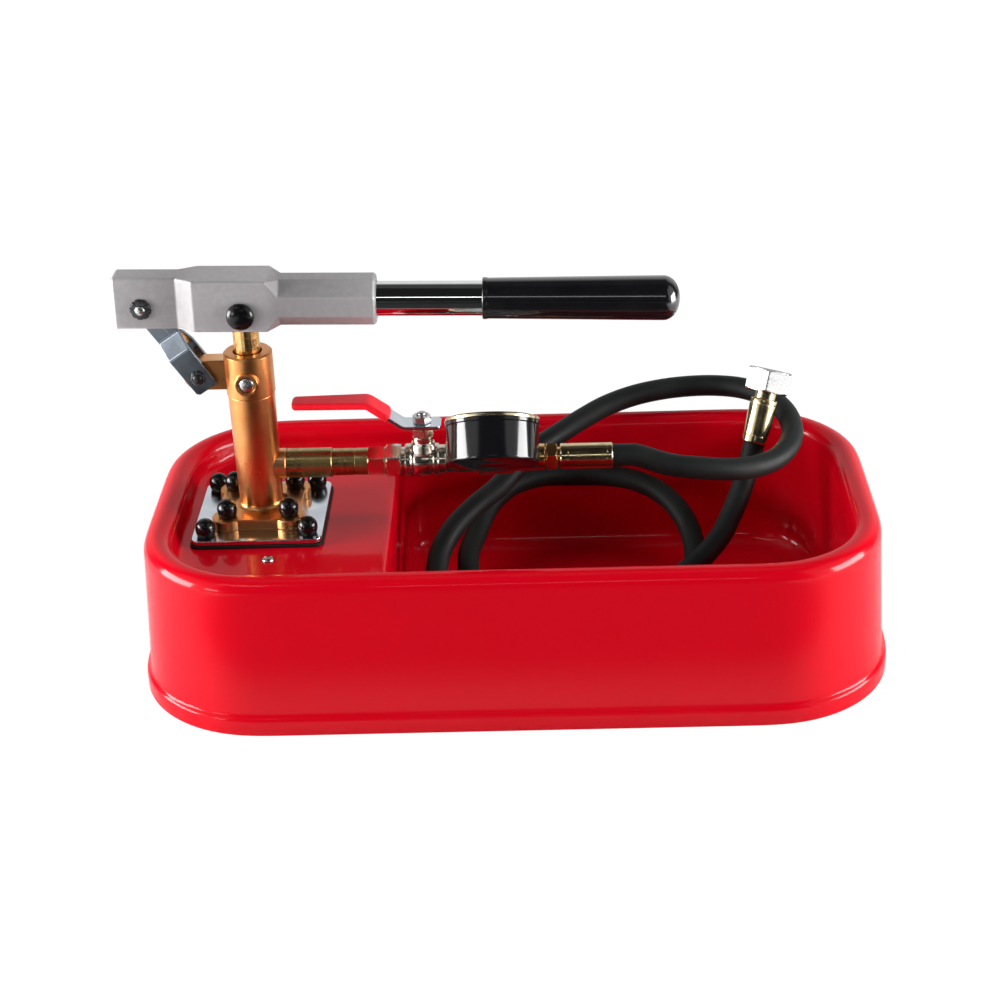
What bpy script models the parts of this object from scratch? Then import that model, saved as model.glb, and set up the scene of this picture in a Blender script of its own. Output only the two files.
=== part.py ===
# Hydrostatic test pump: a hand pump on a water tub, with its outlet line, gauge and hose.
# Metres, +Z up. The origin is on the floor under the middle of the tub; the front faces -Y.
import math

import bmesh
import bpy
from mathutils import Matrix, Vector

# Clearances shared by all pieces
SEAT_GAP = 0.0003
RUN_GAP = 0.0004
OVERRUN = 0.002
FINE_STEPS = 24
SMALL_STEPS = 16
HOLE_STEPS = 12
SIDE_HOLE_STEPS = 8
FILLET_STEPS = 4
ROLL_STEPS = 6
LOBE_STEPS = 8
LUG_STEPS = 10
EYE_STEPS = 8
SHARP_ANGLE = math.radians(35)
OCTAGON_CORNER_SHARE = 1 - 1 / math.sqrt(2)
SCREW_CROWN_SHARE = 0.6
GRIP_DOME_SHARE = 0.75
GROOVE_PLACE_SHARES = (0.2,)
MERGE_DISTANCE = 0.00001

# Tub
TANK_LENGTH = 0.410
TANK_WIDTH = 0.218
TANK_HEIGHT = 0.0885
TANK_WALL = 0.0028
FOOT_CORNER_RADIUS = 0.0705
FOOT_LIP_HEIGHT = 0.0105
FOOT_LIP_STEP = 0.0025
RIM_ROLL_RADIUS = 0.0079
RIM_INSET = 0.0063
WALL_DRAFT = 0.0009
WELL_DRAFT = 0.0020
FLOOR_TOP = 0.006
FLOOR_FILLET = 0.012
PLATFORM_TOP = 0.0735
PLATFORM_LENGTH = 0.1395
PLATFORM_ROUND = 0.005
WELL_LEFT_RADIUS = 0.020
CORNER_STEPS = 7

# Plate, gasket and their bolts
PUMP_INSET = 0.066
GASKET_THICKNESS = 0.0012
GASKET_OVERHANG = 0.0008
PLATE_SIZE = 0.0715
PLATE_THICKNESS = 0.0027
PLATE_CORNER_RADIUS = 0.005
PLATE_BOLT_OFFSET = 0.028
FLANGE_BOLT_OFFSET = 0.017
BOLT_SHANK_RADIUS = 0.0027
BOLT_HEAD_RADIUS = 0.0045
BOLT_HEAD_HEIGHT = 0.003
CAP_RADIUS = 0.005
CAP_FOOT_RADIUS = 0.0056
CAP_FOOT_HEIGHT = 0.002
CAP_HEIGHT = 0.010
PLATFORM_SCREW_RIGHT = 0.0081
PLATFORM_SCREW_FRONT = 0.0502
PLATFORM_SCREW_RADIUS = 0.0033
PLATFORM_SCREW_HEIGHT = 0.0022
PLATFORM_SCREW_SHANK_RADIUS = 0.0016

# Pump body
FLANGE_THICKNESS = 0.0057
FLANGE_HALF = 0.023
FLANGE_LOBE_RADIUS = 0.0085
CYLINDER_BASE_RADIUS = 0.0120
CYLINDER_TOP_RADIUS = 0.0127
CYLINDER_TOP = 0.1507
CYLINDER_FILLET = 0.0035
BORE_RADIUS = 0.0095
BORE_BOTTOM = 0.0925
NECK_RADIUS = 0.0110
NECK_TOP = 0.1615
CHAMBER_RADIUS = 0.0042
CHAMBER_BOTTOM = 0.0835
INLET_RADIUS = 0.0022
INLET_BALL_RADIUS = 0.0036
LINE_RISE = 0.0335
OUTLET_BOSS_RADIUS = 0.0084
OUTLET_BOSS_REACH = 0.016
LINE_BORE_RADIUS = 0.0025

# Suction line
SUCTION_RADIUS = 0.005
SUCTION_WALL = 0.0012
SUCTION_SOCKET_DEPTH = 0.004
SUCTION_DEPTH = 0.020
SUCTION_BEND_RADIUS = 0.018
SUCTION_REACH = 0.0215
STRAINER_RADIUS = 0.008
STRAINER_LENGTH = 0.020
STRAINER_WALL = 0.0012
STRAINER_HOLE_RADIUS = 0.0015
STRAINER_HOLE_COUNT = 6

# Cylinder head
HEAD_RADIUS = 0.0132
HEAD_TOP = 0.175
HEAD_CHAMFER = 0.001
SEAL_BOTTOM = 0.162
SEAL_THICKNESS = 0.0035
BUSH_RADIUS = 0.0087
BUSH_LENGTH = 0.0055
LUG_HALF = 0.00525
LUG_END_RADIUS = 0.0085
HEAD_BOSS_RADIUS = 0.0064
HEAD_BOSS_HEIGHT = 0.1606
HEAD_BOSS_REACH = 0.0148
HEAD_BOSS_RECESS_RADIUS = 0.0046
HEAD_BOSS_RECESS_DEPTH = 0.0015
HEAD_SCREW_RADIUS = 0.0040
HEAD_SCREW_HEIGHT = 0.0018
HEAD_SCREW_SHANK_RADIUS = 0.0024
HEAD_SCREW_END = 0.0115
SCREW_SLOT_WIDTH = 0.0009
SCREW_SLOT_DEPTH = 0.0008

# Plunger
ROD_RADIUS = 0.0071
ROD_BOTTOM = 0.0945
COLLAR_RADIUS = 0.0090
COLLAR_HEIGHT = 0.004
DOME_STEPS = 4
CURVE_PARTS = 12

# Pivots of the linkage: C on the plunger, A on the lever, B on the head
PIVOT_C_Z = 0.1996
PIVOT_A_LEFT = 0.0531
PIVOT_A_Z = 0.2031
PIVOT_B_LEFT = 0.0267
PIVOT_B_Z = 0.1630
LEVER_TILT = math.radians(1.5)

# Lever head, in its own frame: u along the lever from C, w upward
BLOCK_LEFT = 0.0679
BLOCK_HALF = 0.0078
FACET_LEFT = 0.0341
FACET_RIGHT = 0.0247
WIDE_HALF = 0.01285
WIDE_RIGHT = 0.0137
SOCKET_LEFT = 0.0203
SOCKET_RIGHT = 0.0713
LEVER_BOTTOM = 0.0094
LEVER_TOP = 0.0193
LEVER_EDGE = 0.0010
SOCKET_FLATS = 0.0257
SOCKET_AXIS = 0.0049
SOCKET_EDGE = 0.0012
SOCKET_BORE_DEPTH = 0.044
NARROW_SLOT_HALF = 0.0033
NARROW_SLOT_TOP = 0.013
WIDE_SLOT_HALF = 0.0075
WIDE_SLOT_LEFT = 0.020
WIDE_SLOT_RIGHT = 0.0085
WIDE_SLOT_TOP = 0.009

# Lever tube and grip
TUBE_RADIUS = 0.00925
TUBE_WALL = 0.0015
GRIP_START = 0.1272
GRIP_END = 0.2316
GRIP_SMALL_RADIUS = 0.01085
GRIP_LARGE_RADIUS = 0.0119
GRIP_LIP = 0.0015
GRIP_WALL_END = 0.014

# Link straps
STRAP_THICKNESS = 0.0025
STRAP_HALF_WIDTH = 0.0067
STRAP_INNER_FACE = 0.00015
STRAP_OUTER_FACE = 0.0056
JOGGLE_START = 0.022
JOGGLE_END = 0.032
STRAP_FOOT = 0.0085
STRAP_EDGE = 0.0015
EYE_HALF_HEIGHT = 0.006
EYE_SLOT_LEFT = 0.0042
EYE_PLAY = 0.0008
EYE_WALL = 0.0019

# Pins and their rings
PIN_A_RADIUS = 0.0027
PIN_B_RADIUS = 0.0026
PIN_C_RADIUS = 0.0030
RING_A_RADIUS = 0.0060
RING_A_THICKNESS = 0.0014
RING_B_RADIUS = 0.0040
RING_B_THICKNESS = 0.0012
PIN_END = 0.0005
CAP_C_RADIUS = 0.0074
CAP_C_HEIGHT = 0.0042
CAP_C_WALL = 0.0013

# Outlet line: lengths from the boss to the tee
PIPE_RADIUS = 0.00815
PIPE_LENGTH = 0.025
OUTLET_CHAMBER_LENGTH = 0.010
OUTLET_BALL_RADIUS = 0.0034
NIPPLE_RADIUS = 0.00745
NIPPLE_LENGTH = 0.019
REDUCER_FLATS = 0.015
REDUCER_LENGTH = 0.0097
VALVE_HEX_FLATS = 0.0175
VALVE_HEX_LENGTH = 0.0085
VALVE_RADIUS = 0.0092
VALVE_NECK_RADIUS = 0.0074
VALVE_GROOVE_LENGTH = 0.002
VALVE_BODY_LENGTH = 0.0192
VALVE_END_RADIUS = 0.0082
VALVE_LENGTH = 0.0328
STEM_OFFSET = 0.0207
BALL_RADIUS = 0.0065
STEM_RADIUS = 0.0024
BONNET_RADIUS = 0.0055
BONNET_RISE = 0.0150
PACKING_FLATS = 0.011
PACKING_HEIGHT = 0.0052
HANDLE_THICKNESS = 0.0022
HANDLE_WIDTH = 0.014
HANDLE_STOP_REACH = 0.0105
HANDLE_BEND_START = 0.0100
HANDLE_BEND_END = 0.0290
HANDLE_RISE = 0.0140
HANDLE_REACH = 0.0685
SLEEVE_START = 0.0175
SLEEVE_REACH = 0.0700
SLEEVE_WALL = 0.0012
SLEEVE_EDGE = 0.0008
HANDLE_NUT_FLATS = 0.009
HANDLE_NUT_HEIGHT = 0.004
STEM_TOP_STAND = 0.002

# Tee, adapter and the ferrules
TEE_RADIUS = 0.0075
TEE_LENGTH = 0.0501
TEE_CENTRE_RADIUS = 0.0090
TEE_CENTRE_HALF = 0.0095
BRANCH_OFFSET = 0.0270
BRANCH_RADIUS = 0.0070
BRANCH_REACH = 0.0155
BRANCH_SOCKET_RADIUS = 0.0050
BRANCH_SOCKET_DEPTH = 0.0060
ADAPTER_RING_RADIUS = 0.0073
ADAPTER_RING_LENGTH = 0.0038
ADAPTER_NECK_RADIUS = 0.0052
ADAPTER_NECK_LENGTH = 0.0008
ADAPTER_FLATS = 0.0142
ADAPTER_HEX_LENGTH = 0.0060
ADAPTER_TAIL_LENGTH = 0.0012
FERRULE_RADIUS = 0.00715
FERRULE_LENGTH = 0.0287
FERRULE_EDGE = 0.0007
GROOVE_DEPTH = 0.0004
GROOVE_HALF = 0.0008

# Gauge, in its own frame: z along the dial's normal, y toward the tee
GAUGE_TILT = math.radians(34.0)
GAUGE_DISTANCE = 0.049
GAUGE_RADIUS = 0.0245
GAUGE_DEPTH = 0.0208
GAUGE_WALL = 0.0018
GAUGE_STEM_FLATS = 0.0120
GAUGE_SPIGOT_RADIUS = 0.0047
GAUGE_SPIGOT_LENGTH = 0.0055
DIAL_DEPTH = 0.0060
DIAL_THICKNESS = 0.0008
DIAL_LEDGE = 0.0020
POINTER_LIFT = 0.0012
POINTER_THICKNESS = 0.0006
POINTER_HUB_RADIUS = 0.0024
POINTER_LENGTH = 0.0165
POINTER_TAIL = 0.0060
POINTER_HALF_WIDTH = 0.0010
POINTER_TIP_HALF_WIDTH = 0.0003
ARBOR_RADIUS = 0.0009
MOVEMENT_LENGTH = 0.017
MOVEMENT_WIDTH = 0.013
MOVEMENT_HEIGHT = 0.006
GLASS_THICKNESS = 0.0015
GLASS_BITE = 0.0007
BEZEL_RADIUS = 0.0251
BEZEL_LIP = 0.0018
BEZEL_EDGE = 0.0010
BEZEL_OPENING_RADIUS = 0.0220

# Hose and its free end
HOSE_DIAMETER = 0.0125
HOSE_POINT_STEP = 0.0155
TAIL_X = 0.1386
TAIL_Y = 0.0422
TAIL_Z = 0.0916
TAIL_LEAN = math.radians(13.7)
TAIL_TILT = math.radians(21.5)
TAIL_FERRULE_RADIUS = 0.00765
TAIL_FERRULE_LENGTH = 0.0257
TAIL_NECK_RADIUS = 0.0060
TAIL_NECK_END = 0.0315
TAIL_COLLAR_RADIUS = 0.0088
TAIL_COLLAR_END = 0.0355
TAIL_CONE_RADIUS = 0.0058
TAIL_CONE_END = 0.0385
UNION_FLATS = 0.024
UNION_TURN = math.radians(-8.9)
UNION_START = 0.0297
UNION_LENGTH = 0.013
UNION_LIP = 0.0015
UNION_BORE_RADIUS = 0.0100
UNION_EDGE = 0.0008

# The hose's route from its exit to its tail ferrule: out to the right, round a level turn, back over
# the rear rim, down to the tub's floor, round one loop and up to the tail ferrule. The points were
# chosen by hand first, and scratch programs then moved them to fit the photograph.
HOSE_ROUTE = [
    (0.0566, 0.0000, 0.1070),
    (0.0680, 0.0000, 0.1070),
    (0.0878, -0.0030, 0.1018),
    (0.1061, -0.0040, 0.0996),
    (0.1210, -0.0019, 0.0974),
    (0.1338, 0.0034, 0.0957),
    (0.1447, 0.0116, 0.0949),
    (0.1531, 0.0222, 0.0953),
    (0.1585, 0.0345, 0.0965),
    (0.1606, 0.0477, 0.0984),
    (0.1592, 0.0609, 0.1005),
    (0.1543, 0.0734, 0.1023),
    (0.1463, 0.0843, 0.1035),
    (0.1356, 0.0929, 0.1037),
    (0.1229, 0.0986, 0.1030),
    (0.1079, 0.1012, 0.1021),
    (0.0901, 0.0995, 0.1013),
    (0.0720, 0.0942, 0.0999),
    (0.0554, 0.0852, 0.0978),
    (0.0410, 0.0740, 0.0948),
    (0.0279, 0.0624, 0.0916),
    (0.0152, 0.0510, 0.0882),
    (0.0036, 0.0390, 0.0829),
    (-0.0079, 0.0268, 0.0754),
    (-0.0218, 0.0158, 0.0687),
    (-0.0338, 0.0030, 0.0614),
    (-0.0407, -0.0115, 0.0542),
    (-0.0420, -0.0267, 0.0467),
    (-0.0379, -0.0411, 0.0387),
    (-0.0289, -0.0532, 0.0307),
    (-0.0155, -0.0616, 0.0232),
    (0.0012, -0.0654, 0.0169),
    (0.0210, -0.0643, 0.0136),
    (0.0412, -0.0587, 0.0130),
    (0.0593, -0.0510, 0.0129),
    (0.0735, -0.0406, 0.0130),
    (0.0842, -0.0271, 0.0144),
    (0.0931, -0.0103, 0.0174),
    (0.1005, 0.0074, 0.0219),
    (0.1042, 0.0243, 0.0290),
    (0.1026, 0.0397, 0.0375),
    (0.0957, 0.0535, 0.0456),
    (0.0848, 0.0650, 0.0516),
    (0.0707, 0.0733, 0.0548),
    (0.0532, 0.0782, 0.0557),
    (0.0341, 0.0788, 0.0559),
    (0.0171, 0.0751, 0.0577),
    (0.0033, 0.0679, 0.0577),
    (-0.0079, 0.0578, 0.0554),
    (-0.0161, 0.0453, 0.0508),
    (-0.0215, 0.0296, 0.0444),
    (-0.0256, 0.0127, 0.0410),
    (-0.0253, -0.0042, 0.0378),
    (-0.0207, -0.0193, 0.0334),
    (-0.0128, -0.0313, 0.0283),
    (-0.0019, -0.0401, 0.0232),
    (0.0111, -0.0453, 0.0185),
    (0.0254, -0.0467, 0.0149),
    (0.0400, -0.0443, 0.0133),
    (0.0537, -0.0386, 0.0140),
    (0.0661, -0.0305, 0.0179),
    (0.0786, -0.0209, 0.0265),
    (0.0926, -0.0116, 0.0354),
    (0.1066, -0.0014, 0.0426),
    (0.1168, 0.0100, 0.0486),
    (0.1231, 0.0193, 0.0555),
    (0.1285, 0.0272, 0.0641),
    (0.1331, 0.0341, 0.0741),
    (0.1367, 0.0393, 0.0843),
    (0.1386, 0.0422, 0.0916),
]

# Places worked out from the sizes above
TANK_LEFT_X = -TANK_LENGTH / 2
PUMP_X = TANK_LEFT_X + PUMP_INSET
PLATFORM_EDGE_X = TANK_LEFT_X + PLATFORM_LENGTH
PLATFORM_SCREW_X = PUMP_X + PLATFORM_SCREW_RIGHT
PLATFORM_SCREW_Y = -PLATFORM_SCREW_FRONT
SUCTION_END_X = PLATFORM_EDGE_X + SUCTION_REACH
PIVOT_A_X = PUMP_X - PIVOT_A_LEFT
PIVOT_B_X = PUMP_X - PIVOT_B_LEFT
LINE_HEIGHT = PLATFORM_TOP + LINE_RISE
BONNET_TOP = LINE_HEIGHT + BONNET_RISE
PIVOT_C = Vector((PUMP_X, 0, PIVOT_C_Z))
PIVOT_A = Vector((PIVOT_A_X, 0, PIVOT_A_Z))
PIVOT_B = Vector((PIVOT_B_X, 0, PIVOT_B_Z))
GASKET_BOTTOM = PLATFORM_TOP + SEAT_GAP
PLATE_BOTTOM = GASKET_BOTTOM + GASKET_THICKNESS + SEAT_GAP
PLATE_TOP = PLATE_BOTTOM + PLATE_THICKNESS
FLANGE_BOTTOM = PLATE_TOP + SEAT_GAP
FLANGE_TOP = FLANGE_BOTTOM + FLANGE_THICKNESS
ROLL_INSET = RIM_INSET + RIM_ROLL_RADIUS
ROLL_CENTRE_Z = TANK_HEIGHT - RIM_ROLL_RADIUS
INNER_INSET = ROLL_INSET + RIM_ROLL_RADIUS
WELL_INSET = INNER_INSET + WALL_DRAFT
BOSS_END_X = PUMP_X + OUTLET_BOSS_REACH
PIPE_X = BOSS_END_X + SEAT_GAP
NIPPLE_X = PIPE_X + PIPE_LENGTH + SEAT_GAP
REDUCER_X = NIPPLE_X + NIPPLE_LENGTH + SEAT_GAP
VALVE_X = REDUCER_X + REDUCER_LENGTH + SEAT_GAP
STEM_X = VALVE_X + STEM_OFFSET
TEE_X = VALVE_X + VALVE_LENGTH + SEAT_GAP
GAUGE_X = TEE_X + BRANCH_OFFSET
ADAPTER_X = TEE_X + TEE_LENGTH + SEAT_GAP
ADAPTER_HEX_X = ADAPTER_X + ADAPTER_RING_LENGTH + ADAPTER_NECK_LENGTH
ADAPTER_END_X = ADAPTER_HEX_X + ADAPTER_HEX_LENGTH + ADAPTER_TAIL_LENGTH
FERRULE_X = ADAPTER_END_X + SEAT_GAP
HANDLE_BOTTOM = BONNET_TOP + SEAT_GAP + PACKING_HEIGHT + SEAT_GAP

# Directions of turned shapes, which are made along their own Z
ALONG_X = Matrix.Rotation(math.pi / 2, 4, "Y")
ALONG_MINUS_Y = Matrix.Rotation(math.pi / 2, 4, "X")
UPRIGHT = Matrix.Identity(4)
HALF_STEP_TURN = Matrix.Rotation(math.pi / FINE_STEPS, 4, "Z")


# Scene and object helpers

def clear_scene():
    for old in list(bpy.data.objects):
        bpy.data.objects.remove(old, do_unlink=True)


def make_collection(name):
    collection = bpy.data.collections.new(name)
    bpy.context.scene.collection.children.link(collection)
    return collection


def make_material(name, color, roughness, metallic):
    material = bpy.data.materials.new(name)
    material.use_nodes = True
    shader = material.node_tree.nodes["Principled BSDF"]
    shader.inputs["Base Color"].default_value = (*color, 1)
    shader.inputs["Roughness"].default_value = roughness
    shader.inputs["Metallic"].default_value = metallic
    return material


def make_object(name, data, collection, place=UPRIGHT, frame=None):
    item = bpy.data.objects.new(name, data)
    collection.objects.link(item)
    item.parent = frame
    item.matrix_local = place
    return item


def make_frame(name, place):
    frame = make_object(name, None, PARTS, place)
    frame.empty_display_size = SEAT_GAP
    return frame


def as_part(item, material):
    item.data.materials.append(material)
    if isinstance(item.data, bpy.types.Mesh):
        item.data.shade_smooth()
        item.data.set_sharp_from_angle(angle=SHARP_ANGLE)
    return item


def as_tool(item):
    for owner in list(item.users_collection):
        owner.objects.unlink(item)
    TOOLS.objects.link(item)
    item.hide_render = True
    item.display_type = "WIRE"
    return item


def combine(item, other, operation):
    boolean = item.modifiers.new(operation.lower(), "BOOLEAN")
    boolean.operation = operation
    boolean.solver = "EXACT"
    boolean.object = as_tool(other)
    return item


def cut(item, other):
    return combine(item, other, "DIFFERENCE")


def join(item, other):
    return combine(item, other, "UNION")


def shift(x, y, z):
    return Matrix.Translation((x, y, z))


# Shape helpers

def turned(name, profile, place, steps=FINE_STEPS, frame=None):
    # profile runs down the outer side, as (radius, height); it ends on the axis or closes on itself
    mesh = bpy.data.meshes.new(name)
    points = [(radius, 0, height) for radius, height in profile]
    edges = [(index, index + 1) for index in range(len(points) - 1)]
    on_axis = profile[0][0] == 0
    if not on_axis:
        edges.append((len(points) - 1, 0))
    mesh.from_pydata(points, edges, [])
    item = make_object(name, mesh, PARTS, place, frame)
    screw = item.modifiers.new("turn", "SCREW")
    screw.steps = steps
    screw.render_steps = steps
    screw.use_merge_vertices = True
    screw.merge_threshold = MERGE_DISTANCE
    screw.use_smooth_shade = True
    return item


def rod(name, radius, bottom, top, place, steps=FINE_STEPS, frame=None):
    profile = [(0, top), (radius, top), (radius, bottom), (0, bottom)]
    return turned(name, profile, place, steps, frame)


def ring(name, outer, inner, bottom, top, place, steps=FINE_STEPS, frame=None):
    profile = [(inner, top), (outer, top), (outer, bottom), (inner, bottom)]
    return turned(name, profile, place, steps, frame)


def sphere(name, radius, place, segments=SMALL_STEPS, frame=None):
    shape = bmesh.new()
    bmesh.ops.create_uvsphere(shape, u_segments=segments, v_segments=segments // 2 + 2, radius=radius)
    mesh = bpy.data.meshes.new(name)
    shape.to_mesh(mesh)
    shape.free()
    return make_object(name, mesh, PARTS, place, frame)


def box(name, low, high, place, frame=None):
    shape = bmesh.new()
    bmesh.ops.create_cube(shape, size=1)
    size = [top - bottom for bottom, top in zip(low, high)]
    centre = [(top + bottom) / 2 for bottom, top in zip(low, high)]
    bmesh.ops.scale(shape, vec=size, verts=shape.verts)
    bmesh.ops.translate(shape, vec=centre, verts=shape.verts)
    mesh = bpy.data.meshes.new(name)
    shape.to_mesh(mesh)
    shape.free()
    return make_object(name, mesh, PARTS, place, frame)


def mesh_from_curve(item):
    # the curve's caps are loose, so they are welded to its sides
    graph = bpy.context.evaluated_depsgraph_get()
    mesh = bpy.data.meshes.new_from_object(item.evaluated_get(graph))
    shape = bmesh.new()
    shape.from_mesh(mesh)
    bmesh.ops.remove_doubles(shape, verts=shape.verts, dist=MERGE_DISTANCE)
    bmesh.ops.recalc_face_normals(shape, faces=shape.faces)
    shape.to_mesh(mesh)
    shape.free()
    name = item.name
    frame = item.parent
    place = item.matrix_local.copy()
    curve = item.data
    bpy.data.objects.remove(item)
    bpy.data.curves.remove(curve)
    mesh.name = name
    return make_object(name, mesh, PARTS, place, frame)


def flat(name, outlines, thickness, place, frame=None):
    # a plate of even thickness, centred on its own XY plane; outlines after the first are holes
    curve = bpy.data.curves.new(name, "CURVE")
    curve.dimensions = "2D"
    curve.fill_mode = "BOTH"
    curve.extrude = thickness / 2
    for outline in outlines:
        spline = curve.splines.new("POLY")
        spline.points.add(len(outline) - 1)
        for point, (x, y) in zip(spline.points, outline):
            point.co = (x, y, 0, 1)
        spline.use_cyclic_u = True
    return mesh_from_curve(make_object(name, curve, PARTS, place, frame))


def pipe(name, points, radius, sides_resolution, place=UPRIGHT):
    curve = bpy.data.curves.new(name, "CURVE")
    curve.dimensions = "3D"
    curve.bevel_depth = radius
    curve.bevel_resolution = sides_resolution
    curve.use_fill_caps = True
    spline = curve.splines.new("POLY")
    spline.points.add(len(points) - 1)
    for point, where in zip(spline.points, points):
        point.co = (*where, 1)
    return mesh_from_curve(make_object(name, curve, PARTS, place))


def loft(name, rings, place=UPRIGHT, frame=None):
    # a closed solid between rings of equal point counts, counter-clockwise from above, bottom first
    shape = bmesh.new()
    rows = [[shape.verts.new(point) for point in points] for points in rings]
    count = len(rings[0])
    for lower, upper in zip(rows, rows[1:]):
        for index in range(count):
            following = (index + 1) % count
            shape.faces.new((lower[index], lower[following], upper[following], upper[index]))
    shape.faces.new(rows[0][::-1])
    shape.faces.new(rows[-1])
    mesh = bpy.data.meshes.new(name)
    shape.to_mesh(mesh)
    shape.free()
    return make_object(name, mesh, PARTS, place, frame)


def arc(centre_x, centre_y, radius, start, end, steps):
    points = []
    for index in range(steps + 1):
        angle = start + (end - start) * index / steps
        points.append((centre_x + radius * math.cos(angle), centre_y + radius * math.sin(angle)))
    return points


def circle(centre_x, centre_y, radius, steps=SMALL_STEPS):
    return arc(centre_x, centre_y, radius, 0, 2 * math.pi * (steps - 1) / steps, steps - 1)


def hexagon(flats, turn=0):
    radius = flats / math.sqrt(3)
    corners = range(6)
    return [(radius * math.cos(turn + index * math.pi / 3),
             radius * math.sin(turn + index * math.pi / 3)) for index in corners]


def rounded_box_outline(left, right, half_y, left_radius, right_radius, steps=CORNER_STEPS):
    quarter = math.pi / 2
    points = arc(right - right_radius, half_y - right_radius, right_radius, 0, quarter, steps)
    points += arc(left + left_radius, half_y - left_radius, left_radius, quarter, 2 * quarter, steps)
    points += arc(left + left_radius, left_radius - half_y, left_radius, 2 * quarter, 3 * quarter, steps)
    points += arc(right - right_radius, right_radius - half_y, right_radius, 3 * quarter, 4 * quarter, steps)
    return points


def hex_piece(name, flats, bottom, top, bore_radius, place, frame=None, turn=0):
    outlines = [hexagon(flats, turn)]
    if bore_radius > 0:
        outlines.append(circle(0, 0, bore_radius))
    middle = place @ shift(0, 0, (bottom + top) / 2)
    return flat(name, outlines, top - bottom, middle, frame)


# Tub

def tank_ring(inset, height):
    outline = rounded_box_outline(inset - TANK_LENGTH / 2, TANK_LENGTH / 2 - inset,
                                  TANK_WIDTH / 2 - inset, FOOT_CORNER_RADIUS - inset,
                                  FOOT_CORNER_RADIUS - inset)
    return [(x, y, height) for x, y in outline]


def tank_loaf(name, offset, bottom):
    # the tub's outside with its rolled rim and its shallow tray, moved inward by offset
    roll = RIM_ROLL_RADIUS - offset
    rings = [tank_ring(offset + (FOOT_LIP_STEP if offset else 0), bottom)]
    if not offset:
        rings.append(tank_ring(0, FOOT_LIP_HEIGHT - FOOT_LIP_STEP / 2))
    rings.append(tank_ring(FOOT_LIP_STEP + offset, FOOT_LIP_HEIGHT))
    for inset_part, rise in arc(0, 0, roll, math.pi, 0, ROLL_STEPS):
        rings.append(tank_ring(ROLL_INSET + inset_part, ROLL_CENTRE_Z + rise))
    rings.append(tank_ring(INNER_INSET - offset + WALL_DRAFT / 2, PLATFORM_TOP - offset))
    return loft(name, rings)


def well_ring(inset, left, height, grow):
    outline = rounded_box_outline(left - grow, TANK_LENGTH / 2 - inset + grow,
                                  TANK_WIDTH / 2 - inset + grow, WELL_LEFT_RADIUS + grow,
                                  FOOT_CORNER_RADIUS - inset + grow)
    return [(x, y, height) for x, y in outline]


def tank_well(name, grow):
    # the tub's deep part; its upper left edge is rounded over into the platform
    floor = FLOOR_TOP - grow
    fillet = FLOOR_FILLET + grow
    lip = PLATFORM_ROUND - grow
    rings = []
    for across, rise in arc(0, 0, fillet, -math.pi / 2, 0, FILLET_STEPS):
        inset = WELL_INSET + WELL_DRAFT + fillet - across
        left = PLATFORM_EDGE_X + WELL_DRAFT + fillet - across
        rings.append(well_ring(inset, left, floor + fillet + rise, grow))
    rim = PLATFORM_TOP - PLATFORM_ROUND
    for across, rise in arc(0, 0, lip, 0, math.pi / 2, FILLET_STEPS):
        rings.append(well_ring(WELL_INSET, PLATFORM_EDGE_X - lip + across, rim + rise, grow))
    rings.append(well_ring(WELL_INSET, PLATFORM_EDGE_X - lip, PLATFORM_TOP + OVERRUN, grow))
    return loft(name, rings)


def build_tank():
    tank = tank_loaf("tank", 0, 0)
    cut(tank, tank_well("tank_well_space", 0))
    hollow = tank_loaf("tank_hollow", TANK_WALL, -OVERRUN)
    cut(hollow, tank_well("tank_well_shell", TANK_WALL))
    cut(tank, hollow)
    for x, y in corner_places(PLATE_BOLT_OFFSET):
        drill(tank, BOLT_SHANK_RADIUS + RUN_GAP, x, y, PLATFORM_TOP)
    drill(tank, SUCTION_RADIUS + RUN_GAP, PUMP_X, 0, PLATFORM_TOP)
    drill(tank, PLATFORM_SCREW_SHANK_RADIUS + RUN_GAP, PLATFORM_SCREW_X, PLATFORM_SCREW_Y, PLATFORM_TOP)
    wall_hole = rod("tank_suction_hole", SUCTION_RADIUS + RUN_GAP, -FLOOR_FILLET, FLOOR_FILLET,
                    shift(PLATFORM_EDGE_X, 0, suction_height()) @ ALONG_X, SMALL_STEPS)
    cut(tank, wall_hole)
    as_part(tank, RED_PAINT)


def corner_places(offset):
    return [(PUMP_X + side_x * offset, side_y * offset) for side_y in (-1, 1) for side_x in (-1, 1)]


def drill(item, radius, x, y, top):
    hole = rod(item.name + "_hole", radius, -TANK_WALL - OVERRUN, OVERRUN, shift(x, y, top), SMALL_STEPS)
    cut(item, hole)


# Plate, gasket, bolts

def plate_outlines(size, radius):
    half = size / 2
    outlines = [rounded_box_outline(-half, half, half, radius, radius, FILLET_STEPS)]
    for side_y in (-1, 1):
        for side_x in (-1, 1):
            centre = (side_x * PLATE_BOLT_OFFSET, side_y * PLATE_BOLT_OFFSET)
            outlines.append(circle(*centre, BOLT_SHANK_RADIUS + RUN_GAP, HOLE_STEPS))
    outlines.append(circle(0, 0, SUCTION_RADIUS + RUN_GAP))
    return outlines


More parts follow.
